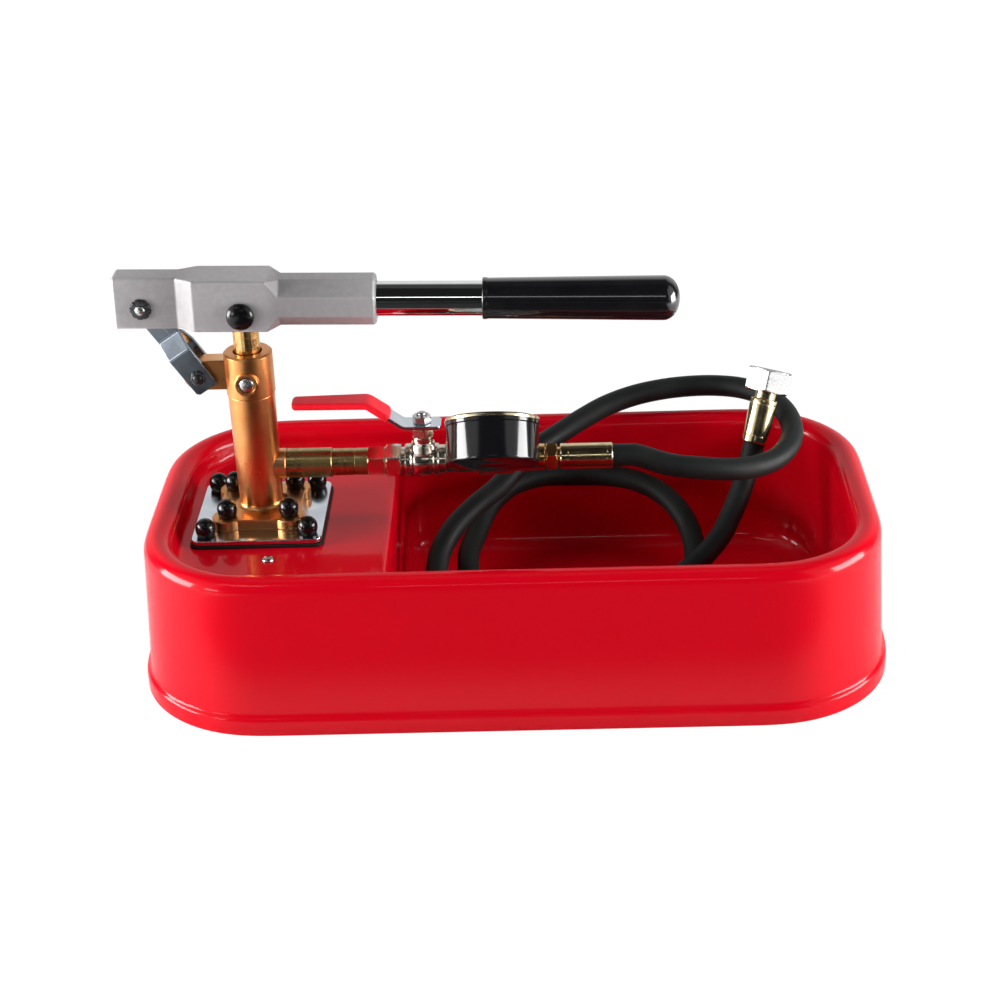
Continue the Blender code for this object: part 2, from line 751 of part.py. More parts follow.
def build_plate():
    gasket_size = PLATE_SIZE + 2 * GASKET_OVERHANG
    outlines = plate_outlines(gasket_size, PLATE_CORNER_RADIUS + GASKET_OVERHANG)
    middle = GASKET_BOTTOM + GASKET_THICKNESS / 2
    as_part(flat("base_gasket", outlines, GASKET_THICKNESS, shift(PUMP_X, 0, middle)), BLACK_RUBBER)
    outlines = plate_outlines(PLATE_SIZE, PLATE_CORNER_RADIUS)
    for side_y in (-1, 1):
        for side_x in (-1, 1):
            centre = (side_x * FLANGE_BOLT_OFFSET, side_y * FLANGE_BOLT_OFFSET)
            outlines.append(circle(*centre, BOLT_SHANK_RADIUS + RUN_GAP, HOLE_STEPS))
    middle = PLATE_BOTTOM + PLATE_THICKNESS / 2
    as_part(flat("mounting_plate", outlines, PLATE_THICKNESS, shift(PUMP_X, 0, middle)), ZINC)


def capped_bolt(name, x, y, top, bottom, head_height):
    # a capped nut above, the shank, and a round head below where head_height is not zero
    start = top + SEAT_GAP
    dome_start = start + CAP_HEIGHT - CAP_RADIUS
    profile = [(0, start + CAP_HEIGHT)]
    for radius, rise in arc(0, 0, CAP_RADIUS, math.pi / 2, 0, DOME_STEPS)[1:]:
        profile.append((radius, dome_start + rise))
    profile += [(CAP_RADIUS, start + CAP_FOOT_HEIGHT), (CAP_FOOT_RADIUS, start + CAP_FOOT_HEIGHT)]
    profile += [(CAP_FOOT_RADIUS, start), (BOLT_SHANK_RADIUS, start)]
    if head_height:
        profile += [(BOLT_SHANK_RADIUS, bottom), (BOLT_HEAD_RADIUS, bottom)]
        profile += [(BOLT_HEAD_RADIUS, bottom - head_height), (0, bottom - head_height)]
    else:
        profile += [(BOLT_SHANK_RADIUS, bottom), (0, bottom)]
    as_part(turned(name, profile, shift(x, y, 0), HOLE_STEPS), BLACK_PLASTIC)


def build_bolts():
    under = PLATFORM_TOP - TANK_WALL - SEAT_GAP
    for index, (x, y) in enumerate(corner_places(PLATE_BOLT_OFFSET), 1):
        capped_bolt(f"plate_bolt_{index}", x, y, PLATE_TOP, under, BOLT_HEAD_HEIGHT)
    for index, (x, y) in enumerate(corner_places(FLANGE_BOLT_OFFSET), 1):
        capped_bolt(f"flange_bolt_{index}", x, y, FLANGE_TOP, PLATE_BOTTOM, 0)
    start = PLATFORM_TOP + SEAT_GAP
    top = start + PLATFORM_SCREW_HEIGHT
    tip = PLATFORM_TOP - TANK_WALL - OVERRUN
    profile = [(0, top), (PLATFORM_SCREW_RADIUS * SCREW_CROWN_SHARE, top)]
    profile += [(PLATFORM_SCREW_RADIUS, start), (PLATFORM_SCREW_SHANK_RADIUS, start)]
    profile += [(PLATFORM_SCREW_SHANK_RADIUS, tip), (0, tip)]
    place = shift(PLATFORM_SCREW_X, PLATFORM_SCREW_Y, 0)
    as_part(turned("platform_screw", profile, place, SMALL_STEPS), ZINC)


# Pump body

def flange_outline():
    # a square with a round lobe over each bolt
    outline = []
    spread = math.acos((FLANGE_HALF - FLANGE_BOLT_OFFSET) / FLANGE_LOBE_RADIUS)
    for turn in range(4):
        middle = math.pi / 4 + turn * math.pi / 2
        centre_x = math.copysign(FLANGE_BOLT_OFFSET, math.cos(middle))
        centre_y = math.copysign(FLANGE_BOLT_OFFSET, math.sin(middle))
        reach = spread + math.pi / 4
        outline += arc(centre_x, centre_y, FLANGE_LOBE_RADIUS, middle - reach, middle + reach, LOBE_STEPS)
    return outline


def build_pump_body():
    holes = [circle(x, y, BOLT_SHANK_RADIUS + RUN_GAP, HOLE_STEPS)
             for x in (-FLANGE_BOLT_OFFSET, FLANGE_BOLT_OFFSET)
             for y in (-FLANGE_BOLT_OFFSET, FLANGE_BOLT_OFFSET)]
    middle = FLANGE_BOTTOM + FLANGE_THICKNESS / 2
    body = flat("pump_body", [flange_outline()] + holes, FLANGE_THICKNESS, shift(PUMP_X, 0, middle))
    shoulder = CYLINDER_TOP
    profile = [(0, NECK_TOP), (NECK_RADIUS, NECK_TOP), (NECK_RADIUS, shoulder)]
    profile += [(CYLINDER_TOP_RADIUS, shoulder)]
    fillet_centre_r = CYLINDER_BASE_RADIUS + CYLINDER_FILLET
    fillet_centre_z = FLANGE_TOP + CYLINDER_FILLET
    profile += arc(fillet_centre_r, fillet_centre_z, CYLINDER_FILLET, math.pi, 3 * math.pi / 2, FILLET_STEPS)
    low = FLANGE_BOTTOM + FLANGE_THICKNESS / 2
    profile += [(fillet_centre_r, low), (0, low)]
    join(body, turned("pump_cylinder", profile, shift(PUMP_X, 0, 0)))
    line = shift(PUMP_X, 0, LINE_HEIGHT) @ ALONG_X
    join(body, rod("pump_outlet_boss", OUTLET_BOSS_RADIUS, 0, OUTLET_BOSS_REACH, line))
    socket_top = FLANGE_BOTTOM + SUCTION_SOCKET_DEPTH
    socket = SUCTION_RADIUS + RUN_GAP
    bore = [(0, NECK_TOP + OVERRUN), (BORE_RADIUS, NECK_TOP + OVERRUN), (BORE_RADIUS, BORE_BOTTOM)]
    bore += [(CHAMBER_RADIUS, BORE_BOTTOM), (CHAMBER_RADIUS, CHAMBER_BOTTOM)]
    bore += [(INLET_RADIUS, CHAMBER_BOTTOM), (INLET_RADIUS, socket_top), (socket, socket_top)]
    bore += [(socket, FLANGE_BOTTOM - OVERRUN), (0, FLANGE_BOTTOM - OVERRUN)]
    cut(body, turned("pump_bore", bore, shift(PUMP_X, 0, 0)))
    cut(body, rod("pump_outlet_bore", LINE_BORE_RADIUS, 0, OUTLET_BOSS_REACH + OVERRUN, line, HOLE_STEPS))
    as_part(body, ORANGE_BRASS)
    ball_height = CHAMBER_BOTTOM + INLET_BALL_RADIUS + SEAT_GAP
    as_part(sphere("inlet_ball", INLET_BALL_RADIUS, shift(PUMP_X, 0, ball_height)), STEEL)


# Suction line

def suction_height():
    return PLATFORM_TOP - TANK_WALL - SUCTION_DEPTH - SUCTION_BEND_RADIUS - SUCTION_RADIUS


def build_suction():
    top = FLANGE_BOTTOM + SUCTION_SOCKET_DEPTH - SEAT_GAP
    height = suction_height()
    centre_x = PUMP_X + SUCTION_BEND_RADIUS
    centre_z = height + SUCTION_BEND_RADIUS
    bend = arc(centre_x, centre_z, SUCTION_BEND_RADIUS, math.pi, 3 * math.pi / 2, ROLL_STEPS)
    points = [(PUMP_X, 0, top)] + [(x, 0, z) for x, z in bend] + [(SUCTION_END_X, 0, height)]
    tube = pipe("suction_tube", points, SUCTION_RADIUS, 4)
    longer = [(PUMP_X, 0, top + OVERRUN)] + points[1:-1] + [(SUCTION_END_X + OVERRUN, 0, height)]
    cut(tube, pipe("suction_bore", longer, SUCTION_RADIUS - SUCTION_WALL, 2))
    as_part(tube, STEEL)
    inside = SUCTION_RADIUS + SEAT_GAP
    start = SUCTION_END_X - STRAINER_LENGTH / 2
    end = SUCTION_END_X + STRAINER_LENGTH / 2
    chamber = STRAINER_RADIUS - STRAINER_WALL
    step = SUCTION_END_X + SEAT_GAP - start
    length = end - start
    profile = [(0, length), (STRAINER_RADIUS, length), (STRAINER_RADIUS, 0), (inside, 0), (inside, step)]
    profile += [(chamber, step), (chamber, length - STRAINER_WALL), (0, length - STRAINER_WALL)]
    place = shift(start, 0, height) @ ALONG_X
    strainer = turned("strainer", profile, place, SMALL_STEPS)
    holes = STRAINER_HOLE_COUNT
    for index in range(holes):
        angle = 2 * math.pi * index / holes
        turn = Matrix.Rotation(angle, 4, "Z") @ Matrix.Rotation(math.pi / 2, 4, "Y")
        spot = place @ shift(0, 0, (step + length - STRAINER_WALL) / 2) @ turn
        cut(strainer, rod("strainer_hole", STRAINER_HOLE_RADIUS, chamber - OVERRUN,
                          STRAINER_RADIUS + OVERRUN, spot, SIDE_HOLE_STEPS))
    as_part(strainer, ZINC)


# Cylinder head, seal, bush and screw

def build_head():
    collar_bottom = CYLINDER_TOP + SEAT_GAP
    profile = [(0, HEAD_TOP), (HEAD_RADIUS - HEAD_CHAMFER, HEAD_TOP), (HEAD_RADIUS, HEAD_TOP - HEAD_CHAMFER)]
    profile += [(HEAD_RADIUS, collar_bottom), (0, collar_bottom)]
    head = turned("cylinder_head", profile, shift(PUMP_X, 0, 0))
    reach = PUMP_X - PIVOT_B_X
    quarter = math.pi / 2
    lug = arc(-reach, 0, LUG_END_RADIUS, quarter, 3 * quarter, LUG_STEPS)
    lug += [(0, -LUG_END_RADIUS), (0, LUG_END_RADIUS)]
    place = shift(PUMP_X, 0, PIVOT_B_Z) @ ALONG_MINUS_Y
    pin_hole = circle(-reach, 0, PIN_B_RADIUS + SEAT_GAP)
    join(head, flat("head_lug", [lug, pin_hole], 2 * LUG_HALF, place))
    front = shift(PUMP_X, 0, HEAD_BOSS_HEIGHT) @ ALONG_MINUS_Y
    join(head, rod("head_boss", HEAD_BOSS_RADIUS, 0, HEAD_BOSS_REACH, front))
    neck = NECK_RADIUS + SEAT_GAP
    bush_bore = BUSH_RADIUS + SEAT_GAP
    bush_top = bush_bottom() + BUSH_LENGTH + SEAT_GAP
    rod_hole = ROD_RADIUS + RUN_GAP
    bore = [(0, HEAD_TOP + OVERRUN), (rod_hole, HEAD_TOP + OVERRUN), (rod_hole, bush_top)]
    bore += [(bush_bore, bush_top), (bush_bore, bush_bottom() - SEAT_GAP), (neck, bush_bottom() - SEAT_GAP)]
    bore += [(neck, collar_bottom - OVERRUN), (0, collar_bottom - OVERRUN)]
    cut(head, turned("head_bore", bore, shift(PUMP_X, 0, 0)))
    recess_floor = HEAD_BOSS_REACH - HEAD_BOSS_RECESS_DEPTH
    screw_hole = HEAD_SCREW_SHANK_RADIUS + SEAT_GAP
    recess = [(0, HEAD_BOSS_REACH + OVERRUN), (HEAD_BOSS_RECESS_RADIUS, HEAD_BOSS_REACH + OVERRUN)]
    recess += [(HEAD_BOSS_RECESS_RADIUS, recess_floor), (screw_hole, recess_floor)]
    recess += [(screw_hole, NECK_RADIUS / 2), (0, NECK_RADIUS / 2)]
    cut(head, turned("head_recess", recess, front @ HALF_STEP_TURN, SMALL_STEPS))
    as_part(head, ORANGE_BRASS)

    top = recess_floor + SEAT_GAP + HEAD_SCREW_HEIGHT
    profile = [(0, top), (HEAD_SCREW_RADIUS, top), (HEAD_SCREW_RADIUS, top - HEAD_SCREW_HEIGHT)]
    profile += [(HEAD_SCREW_SHANK_RADIUS, top - HEAD_SCREW_HEIGHT), (HEAD_SCREW_SHANK_RADIUS, HEAD_SCREW_END)]
    profile += [(0, HEAD_SCREW_END)]
    screw = turned("head_screw", profile, front, SMALL_STEPS)
    low = (-HEAD_RADIUS, -SCREW_SLOT_WIDTH / 2, top - SCREW_SLOT_DEPTH)
    high = (HEAD_RADIUS, SCREW_SLOT_WIDTH / 2, top + OVERRUN)
    cut(screw, box("head_screw_slot", low, high, front))
    as_part(screw, STEEL)

    seal_top = SEAL_BOTTOM + SEAL_THICKNESS
    as_part(ring("rod_seal", NECK_RADIUS, ROD_RADIUS + SEAT_GAP, SEAL_BOTTOM, seal_top,
                 shift(PUMP_X, 0, 0)), BLACK_RUBBER)
    as_part(ring("rod_bush", BUSH_RADIUS, ROD_RADIUS + SEAT_GAP, bush_bottom(), bush_bottom() + BUSH_LENGTH,
                 shift(PUMP_X, 0, 0)), BRASS)


def bush_bottom():
    return SEAL_BOTTOM + SEAL_THICKNESS + 2 * SEAT_GAP


# Plunger

def build_plunger():
    profile = [(0, ROD_RADIUS)]
    profile += arc(0, 0, ROD_RADIUS, math.pi / 2, 0, DOME_STEPS)[1:]
    foot = ROD_BOTTOM - PIVOT_C_Z
    profile += [(ROD_RADIUS, foot + COLLAR_HEIGHT), (COLLAR_RADIUS, foot + COLLAR_HEIGHT)]
    profile += [(COLLAR_RADIUS, foot), (0, foot)]
    plunger = turned("piston_rod", profile, UPRIGHT, FINE_STEPS, PISTON_FRAME)
    hole = rod("rod_pin_hole", PIN_C_RADIUS + SEAT_GAP, -ROD_RADIUS - OVERRUN, ROD_RADIUS + OVERRUN,
               ALONG_MINUS_Y, SMALL_STEPS, PISTON_FRAME)
    cut(plunger, hole)
    as_part(plunger, GOLDEN_STEEL)


# Lever

def lever_section(u, half, bottom, top, chamfer):
    # eight points round the lever, counter-clockwise seen from the grip
    return [(u, -half, bottom + chamfer), (u, -half + chamfer, bottom), (u, half - chamfer, bottom),
            (u, half, bottom + chamfer), (u, half, top - chamfer), (u, half - chamfer, top),
            (u, -half + chamfer, top), (u, -half, top - chamfer)]


def build_lever():
    half_flats = SOCKET_FLATS / 2
    corner = SOCKET_FLATS * OCTAGON_CORNER_SHARE
    socket = (half_flats, SOCKET_AXIS - half_flats, SOCKET_AXIS + half_flats, corner)
    small = (half_flats - SOCKET_EDGE, SOCKET_AXIS - half_flats + SOCKET_EDGE,
             SOCKET_AXIS + half_flats - SOCKET_EDGE, corner)
    block = (BLOCK_HALF, -LEVER_BOTTOM, LEVER_TOP, LEVER_EDGE)
    block_end = (BLOCK_HALF - LEVER_EDGE, LEVER_EDGE - LEVER_BOTTOM, LEVER_TOP - LEVER_EDGE, LEVER_EDGE)
    wide = (WIDE_HALF, -LEVER_BOTTOM, LEVER_TOP, LEVER_EDGE)
    sections = [
        lever_section(-BLOCK_LEFT, *block_end),
        lever_section(LEVER_EDGE - BLOCK_LEFT, *block),
        lever_section(-FACET_LEFT, *block),
        lever_section(-FACET_RIGHT, *wide),
        lever_section(WIDE_RIGHT, *wide),
        lever_section(SOCKET_LEFT, *socket),
        lever_section(SOCKET_RIGHT - SOCKET_EDGE, *socket),
        lever_section(SOCKET_RIGHT, *small),
    ]
    head = loft("lever_head", sections, UPRIGHT, LEVER_FRAME)
    low = (-BLOCK_LEFT - OVERRUN, -NARROW_SLOT_HALF, -LEVER_BOTTOM - OVERRUN)
    high = (-WIDE_SLOT_LEFT / 2, NARROW_SLOT_HALF, NARROW_SLOT_TOP)
    cut(head, box("lever_narrow_slot", low, high, UPRIGHT, LEVER_FRAME))
    low = (-WIDE_SLOT_LEFT, -WIDE_SLOT_HALF, -LEVER_BOTTOM - OVERRUN)
    high = (WIDE_SLOT_RIGHT, WIDE_SLOT_HALF, WIDE_SLOT_TOP)
    cut(head, box("lever_wide_slot", low, high, UPRIGHT, LEVER_FRAME))
    along = shift(0, 0, SOCKET_AXIS) @ ALONG_X
    bore_start = SOCKET_RIGHT - SOCKET_BORE_DEPTH
    cut(head, rod("lever_socket_bore", TUBE_RADIUS + SEAT_GAP, bore_start, SOCKET_RIGHT + OVERRUN,
                  along, FINE_STEPS, LEVER_FRAME))
    pin_a = LEVER_FRAME.matrix_local.inverted() @ shift(*PIVOT_A) @ ALONG_MINUS_Y
    cut(head, rod("lever_hole_a", PIN_A_RADIUS + SEAT_GAP, -WIDE_HALF, WIDE_HALF, pin_a,
                  SMALL_STEPS, LEVER_FRAME))
    cut(head, rod("lever_hole_c", PIN_C_RADIUS + SEAT_GAP, -WIDE_HALF - OVERRUN, WIDE_HALF + OVERRUN,
                  ALONG_MINUS_Y, SMALL_STEPS, LEVER_FRAME))
    as_part(head, CAST_GREY)

    grip_bore_end = GRIP_END - GRIP_WALL_END
    as_part(ring("lever_tube", TUBE_RADIUS, TUBE_RADIUS - TUBE_WALL, bore_start + SEAT_GAP,
                 grip_bore_end - SEAT_GAP, along, FINE_STEPS, LEVER_FRAME), CHROME)
    dome_rise = GRIP_LARGE_RADIUS * GRIP_DOME_SHARE
    dome_start = GRIP_END - dome_rise
    profile = [(0, GRIP_END)]
    for radius, rise in arc(0, 0, GRIP_LARGE_RADIUS, math.pi / 2, 0, DOME_STEPS)[1:]:
        profile.append((radius, dome_start + rise * GRIP_DOME_SHARE))
    profile += [(GRIP_SMALL_RADIUS, GRIP_START + GRIP_LIP), (GRIP_SMALL_RADIUS - GRIP_LIP / 2, GRIP_START)]
    bore = TUBE_RADIUS + SEAT_GAP
    profile += [(bore, GRIP_START), (bore, grip_bore_end), (0, grip_bore_end)]
    as_part(turned("lever_grip", profile, along, FINE_STEPS, LEVER_FRAME), GLOSSY_BLACK)


# Link straps

def link_place():
    # own X along the link from A to B, own Y to its upper right, own Z to the front
    along = (PIVOT_B - PIVOT_A).normalized()
    front = Vector((0, -1, 0))
    across = front.cross(along)
    axes = Matrix((along, across, front)).transposed().to_4x4()
    return axes


def build_link(name, side):
    length = (PIVOT_B - PIVOT_A).length
    place = LINK_FRAME_TURN @ shift(-length, 0, 0)
    slot_radius = PIN_A_RADIUS + EYE_PLAY
    eye_left = slot_radius + EYE_SLOT_LEFT + EYE_WALL
    foot = length + STRAP_FOOT
    inner = side * STRAP_INNER_FACE
    outer = side * STRAP_OUTER_FACE
    step = side * STRAP_THICKNESS
    strip = [(-EYE_HALF_HEIGHT, inner), (JOGGLE_START, inner), (JOGGLE_END, outer), (foot, outer),
             (foot, outer + step), (JOGGLE_END - STRAP_EDGE / 2, outer + step),
             (JOGGLE_START - STRAP_EDGE / 2, inner + step), (-EYE_HALF_HEIGHT, inner + step)]
    # the strip's outline lies along the link and its front direction; it is as wide as the eye
    width = eye_left + STRAP_HALF_WIDTH
    middle = (STRAP_HALF_WIDTH - eye_left) / 2
    strip_place = place @ shift(0, middle, 0) @ ALONG_MINUS_Y
    link = flat(name, [strip], width, strip_place, LINK_FRAME)
    edge = STRAP_EDGE
    half = STRAP_HALF_WIDTH
    eye = EYE_HALF_HEIGHT
    side_view = [(edge - eye, -eye_left), (eye, -eye_left), (eye + eye_left - half, -half),
                 (foot - edge, -half), (foot, edge - half), (foot, half - edge), (foot - edge, half),
                 (edge - eye, half), (-eye, half - edge), (-eye, edge - eye_left)]
    slot = arc(0, 0, slot_radius, 0, math.pi, EYE_STEPS)
    slot += arc(0, -EYE_SLOT_LEFT, slot_radius, math.pi, 2 * math.pi, EYE_STEPS)
    hole = circle(length, 0, PIN_B_RADIUS + SEAT_GAP)
    depth = 2 * (STRAP_OUTER_FACE + STRAP_THICKNESS + OVERRUN)
    combine(link, flat(name + "_outline", [side_view, slot, hole], depth, place, LINK_FRAME), "INTERSECT")
    as_part(link, ZINC)


# Pins and rings

def build_pins():
    pin_a = LEVER_FRAME.matrix_local.inverted() @ shift(*PIVOT_A) @ ALONG_MINUS_Y
    ring_start = BLOCK_HALF + SEAT_GAP
    ring_end = ring_start + RING_A_THICKNESS
    as_part(rod("pin_a", PIN_A_RADIUS, -ring_end - PIN_END, ring_end + PIN_END, pin_a,
                SMALL_STEPS, LEVER_FRAME), STEEL)
    hole = PIN_A_RADIUS + SEAT_GAP
    for name, low, high in (("pin_a_ring_front", ring_start, ring_end),
                            ("pin_a_ring_back", -ring_end, -ring_start)):
        as_part(ring(name, RING_A_RADIUS, hole, low, high, pin_a, SMALL_STEPS, LEVER_FRAME), BLACK_STEEL)

    pin_b = shift(*PIVOT_B) @ ALONG_MINUS_Y
    ring_start = STRAP_OUTER_FACE + STRAP_THICKNESS + SEAT_GAP
    ring_end = ring_start + RING_B_THICKNESS
    as_part(rod("pin_b", PIN_B_RADIUS, -ring_end - PIN_END, ring_end + PIN_END, pin_b, SMALL_STEPS), STEEL)
    hole = PIN_B_RADIUS + SEAT_GAP
    for name, low, high in (("pin_b_ring_front", ring_start, ring_end),
                            ("pin_b_ring_back", -ring_end, -ring_start)):
        as_part(ring(name, RING_B_RADIUS, hole, low, high, pin_b, SMALL_STEPS), BLACK_STEEL)

    cap_start = WIDE_HALF + SEAT_GAP
    pin_end = cap_start + CAP_C_HEIGHT - CAP_C_WALL - SEAT_GAP
    as_part(rod("pin_c", PIN_C_RADIUS, -pin_end, pin_end, ALONG_MINUS_Y, SMALL_STEPS, LEVER_FRAME), STEEL)
    turn_back = Matrix.Rotation(math.pi, 4, "Z")
    for name, turn in (("pin_c_cap_front", UPRIGHT), ("pin_c_cap_back", turn_back)):
        profile = []
        for radius, rise in arc(0, 0, 1, math.pi / 2, 0, DOME_STEPS):
            profile.append((radius * CAP_C_RADIUS, cap_start + CAP_C_WALL + rise * (CAP_C_HEIGHT - CAP_C_WALL)))
        profile[0] = (0, cap_start + CAP_C_HEIGHT)
        bore = PIN_C_RADIUS + SEAT_GAP
        bore_end = pin_end + SEAT_GAP
        profile += [(CAP_C_RADIUS, cap_start), (bore, cap_start), (bore, bore_end - SEAT_GAP / 2)]
        profile += [(0, bore_end - SEAT_GAP / 2)]
        as_part(turned(name, profile, turn @ ALONG_MINUS_Y, FINE_STEPS, LEVER_FRAME), BLACK_PLASTIC)


# Outlet line and valve

def line_place(x):
    return shift(x, 0, LINE_HEIGHT) @ ALONG_X


def build_outlet_line():
    bore = LINE_BORE_RADIUS
    profile = [(CHAMBER_RADIUS, PIPE_LENGTH), (PIPE_RADIUS, PIPE_LENGTH), (PIPE_RADIUS, 0), (bore, 0)]
    chamber_start = PIPE_LENGTH - OUTLET_CHAMBER_LENGTH
    profile += [(bore, chamber_start), (CHAMBER_RADIUS, chamber_start)]
    as_part(turned("outlet_pipe", profile, line_place(PIPE_X)), GOLDEN_STEEL)
    ball_x = PIPE_X + chamber_start + OUTLET_BALL_RADIUS + SEAT_GAP
    as_part(sphere("outlet_ball", OUTLET_BALL_RADIUS, line_place(ball_x)), STEEL)
    as_part(ring("nipple", NIPPLE_RADIUS, bore, 0, NIPPLE_LENGTH, line_place(NIPPLE_X)), GOLDEN_STEEL)
    as_part(hex_piece("reducer_nut", REDUCER_FLATS, 0, REDUCER_LENGTH, bore, line_place(REDUCER_X)), NICKEL)


def build_valve():
    body = hex_piece("valve_body", VALVE_HEX_FLATS, 0, VALVE_HEX_LENGTH, 0, line_place(VALVE_X))
    groove = VALVE_HEX_LENGTH + VALVE_GROOVE_LENGTH
    body_end = groove + VALVE_BODY_LENGTH
    edge = VALVE_GROOVE_LENGTH / 2
    profile = [(0, VALVE_LENGTH), (VALVE_END_RADIUS, VALVE_LENGTH), (VALVE_END_RADIUS, body_end)]
    profile += [(VALVE_RADIUS - edge / 2, body_end), (VALVE_RADIUS, body_end - edge)]
    profile += [(VALVE_RADIUS, groove + edge), (VALVE_RADIUS - edge / 2, groove)]
    profile += [(VALVE_NECK_RADIUS, groove), (VALVE_NECK_RADIUS, VALVE_HEX_LENGTH / 2), (0, VALVE_HEX_LENGTH / 2)]
    join(body, turned("valve_barrel", profile, line_place(VALVE_X)))
    upright = shift(STEM_X, 0, 0)
    join(body, rod("valve_bonnet", BONNET_RADIUS, LINE_HEIGHT, BONNET_TOP, upright))
    hole = STEM_RADIUS + SEAT_GAP
    space = BALL_RADIUS + SEAT_GAP
    top = BONNET_TOP + OVERRUN - LINE_HEIGHT
    profile = [(0, top), (hole, top)]
    profile += arc(0, 0, space, math.acos(hole / space), -math.pi / 2, EYE_STEPS)[:-1] + [(0, -space)]
    centre = shift(STEM_X, 0, LINE_HEIGHT)
    cut(body, turned("valve_ball_space", profile, centre @ HALF_STEP_TURN, SMALL_STEPS))
    cut(body, rod("valve_bore", LINE_BORE_RADIUS, -OVERRUN, VALVE_LENGTH + OVERRUN,
                  line_place(VALVE_X) @ HALF_STEP_TURN, HOLE_STEPS))
    as_part(body, NICKEL)

    ball = sphere("valve_ball", BALL_RADIUS, HALF_STEP_TURN, SMALL_STEPS, VALVE_FRAME)
    cut(ball, rod("valve_ball_bore", LINE_BORE_RADIUS, -BALL_RADIUS - OVERRUN, BALL_RADIUS + OVERRUN,
                  ALONG_X @ HALF_STEP_TURN, HOLE_STEPS, VALVE_FRAME))
    as_part(ball, CHROME)
    bottom = BALL_RADIUS + SEAT_GAP
    handle_bottom = HANDLE_BOTTOM - LINE_HEIGHT
    handle_top = handle_bottom + HANDLE_THICKNESS
    nut_top = handle_top + SEAT_GAP + HANDLE_NUT_HEIGHT
    as_part(rod("valve_stem", STEM_RADIUS, bottom, nut_top + STEM_TOP_STAND, UPRIGHT, SMALL_STEPS,
                VALVE_FRAME), STEEL)
    packing_bottom = BONNET_TOP + SEAT_GAP
    as_part(hex_piece("packing_nut", PACKING_FLATS, packing_bottom, packing_bottom + PACKING_HEIGHT,
                      STEM_RADIUS + SEAT_GAP, upright), NICKEL)
    as_part(hex_piece("handle_nut", HANDLE_NUT_FLATS, handle_top + SEAT_GAP, nut_top,
                      STEM_RADIUS + SEAT_GAP, UPRIGHT, VALVE_FRAME), ZINC)
    build_handle(handle_bottom)


def handle_strip(start, end, low, thickness):
    # the strip seen from the front: flat, a slope, then flat again, low under its first stretch
    slope = HANDLE_RISE / (HANDLE_BEND_END - HANDLE_BEND_START)
    def height(reach, base):
        if reach <= HANDLE_BEND_START:
            return base
        return base + min(reach - HANDLE_BEND_START, HANDLE_BEND_END - HANDLE_BEND_START) * slope

    stops = [start] + [bend for bend in (HANDLE_BEND_START, HANDLE_BEND_END) if bend > start] + [end]
    under = [(-reach, height(reach, low)) for reach in stops]
    over = [(-reach, height(reach, low) + thickness) for reach in reversed(stops)]
    return under + over


def build_handle(bottom):
    strip = handle_strip(-HANDLE_STOP_REACH, HANDLE_REACH, bottom, HANDLE_THICKNESS)
    handle = flat("valve_handle", [strip], HANDLE_WIDTH, ALONG_MINUS_Y, VALVE_FRAME)
    cut(handle, rod("valve_handle_hole", STEM_RADIUS + SEAT_GAP, bottom - OVERRUN,
                    bottom + HANDLE_THICKNESS + OVERRUN, UPRIGHT, SMALL_STEPS, VALVE_FRAME))
    as_part(handle, ZINC)
    wall = SLEEVE_WALL + SEAT_GAP
    outer = handle_strip(SLEEVE_START, SLEEVE_REACH, bottom - wall, HANDLE_THICKNESS + 2 * wall)
    sleeve = flat("handle_sleeve", [outer], HANDLE_WIDTH + 2 * wall, ALONG_MINUS_Y, VALVE_FRAME)
    rounding = sleeve.modifiers.new("edges", "BEVEL")
    rounding.width = SLEEVE_EDGE
    rounding.segments = 2
    inner = handle_strip(SLEEVE_START - OVERRUN, HANDLE_REACH + SEAT_GAP, bottom - SEAT_GAP,
                         HANDLE_THICKNESS + 2 * SEAT_GAP)
    cut(sleeve, flat("handle_sleeve_space", [inner], HANDLE_WIDTH + 2 * SEAT_GAP, ALONG_MINUS_Y, VALVE_FRAME))
    as_part(sleeve, RED_VINYL)


# Tee and gauge

def branch_place():
    # own Z along the branch, from the tee's axis to the front and up
    turn = Matrix.Rotation(math.pi / 2 - GAUGE_TILT, 4, "X")
    return shift(GAUGE_X, 0, LINE_HEIGHT) @ turn


def gauge_place():
    # own Z along the dial's normal, to the back and up; own -Y toward the tee
    away = branch_place() @ shift(0, 0, GAUGE_DISTANCE)
    return away @ Matrix.Rotation(-math.pi / 2, 4, "X")


def build_tee():
    centre = GAUGE_X - TEE_X
    low = centre - TEE_CENTRE_HALF
    high = centre + TEE_CENTRE_HALF
    profile = [(0, TEE_LENGTH), (TEE_RADIUS, TEE_LENGTH), (TEE_RADIUS, high), (TEE_CENTRE_RADIUS, high)]
    profile += [(TEE_CENTRE_RADIUS, low), (TEE_RADIUS, low), (TEE_RADIUS, 0), (0, 0)]
    tee = turned("gauge_tee", profile, line_place(TEE_X))
    join(tee, rod("tee_branch", BRANCH_RADIUS, 0, BRANCH_REACH, branch_place()))
    cut(tee, rod("tee_bore", LINE_BORE_RADIUS, -OVERRUN, TEE_LENGTH + OVERRUN, line_place(TEE_X), HOLE_STEPS))
    socket_floor = BRANCH_REACH - BRANCH_SOCKET_DEPTH
    profile = [(0, BRANCH_REACH + OVERRUN), (BRANCH_SOCKET_RADIUS, BRANCH_REACH + OVERRUN)]
    profile += [(BRANCH_SOCKET_RADIUS, socket_floor), (LINE_BORE_RADIUS, socket_floor), (LINE_BORE_RADIUS, 0), (0, 0)]
    cut(tee, turned("tee_branch_bore", profile, branch_place(), HOLE_STEPS))
    as_part(tee, NICKEL)


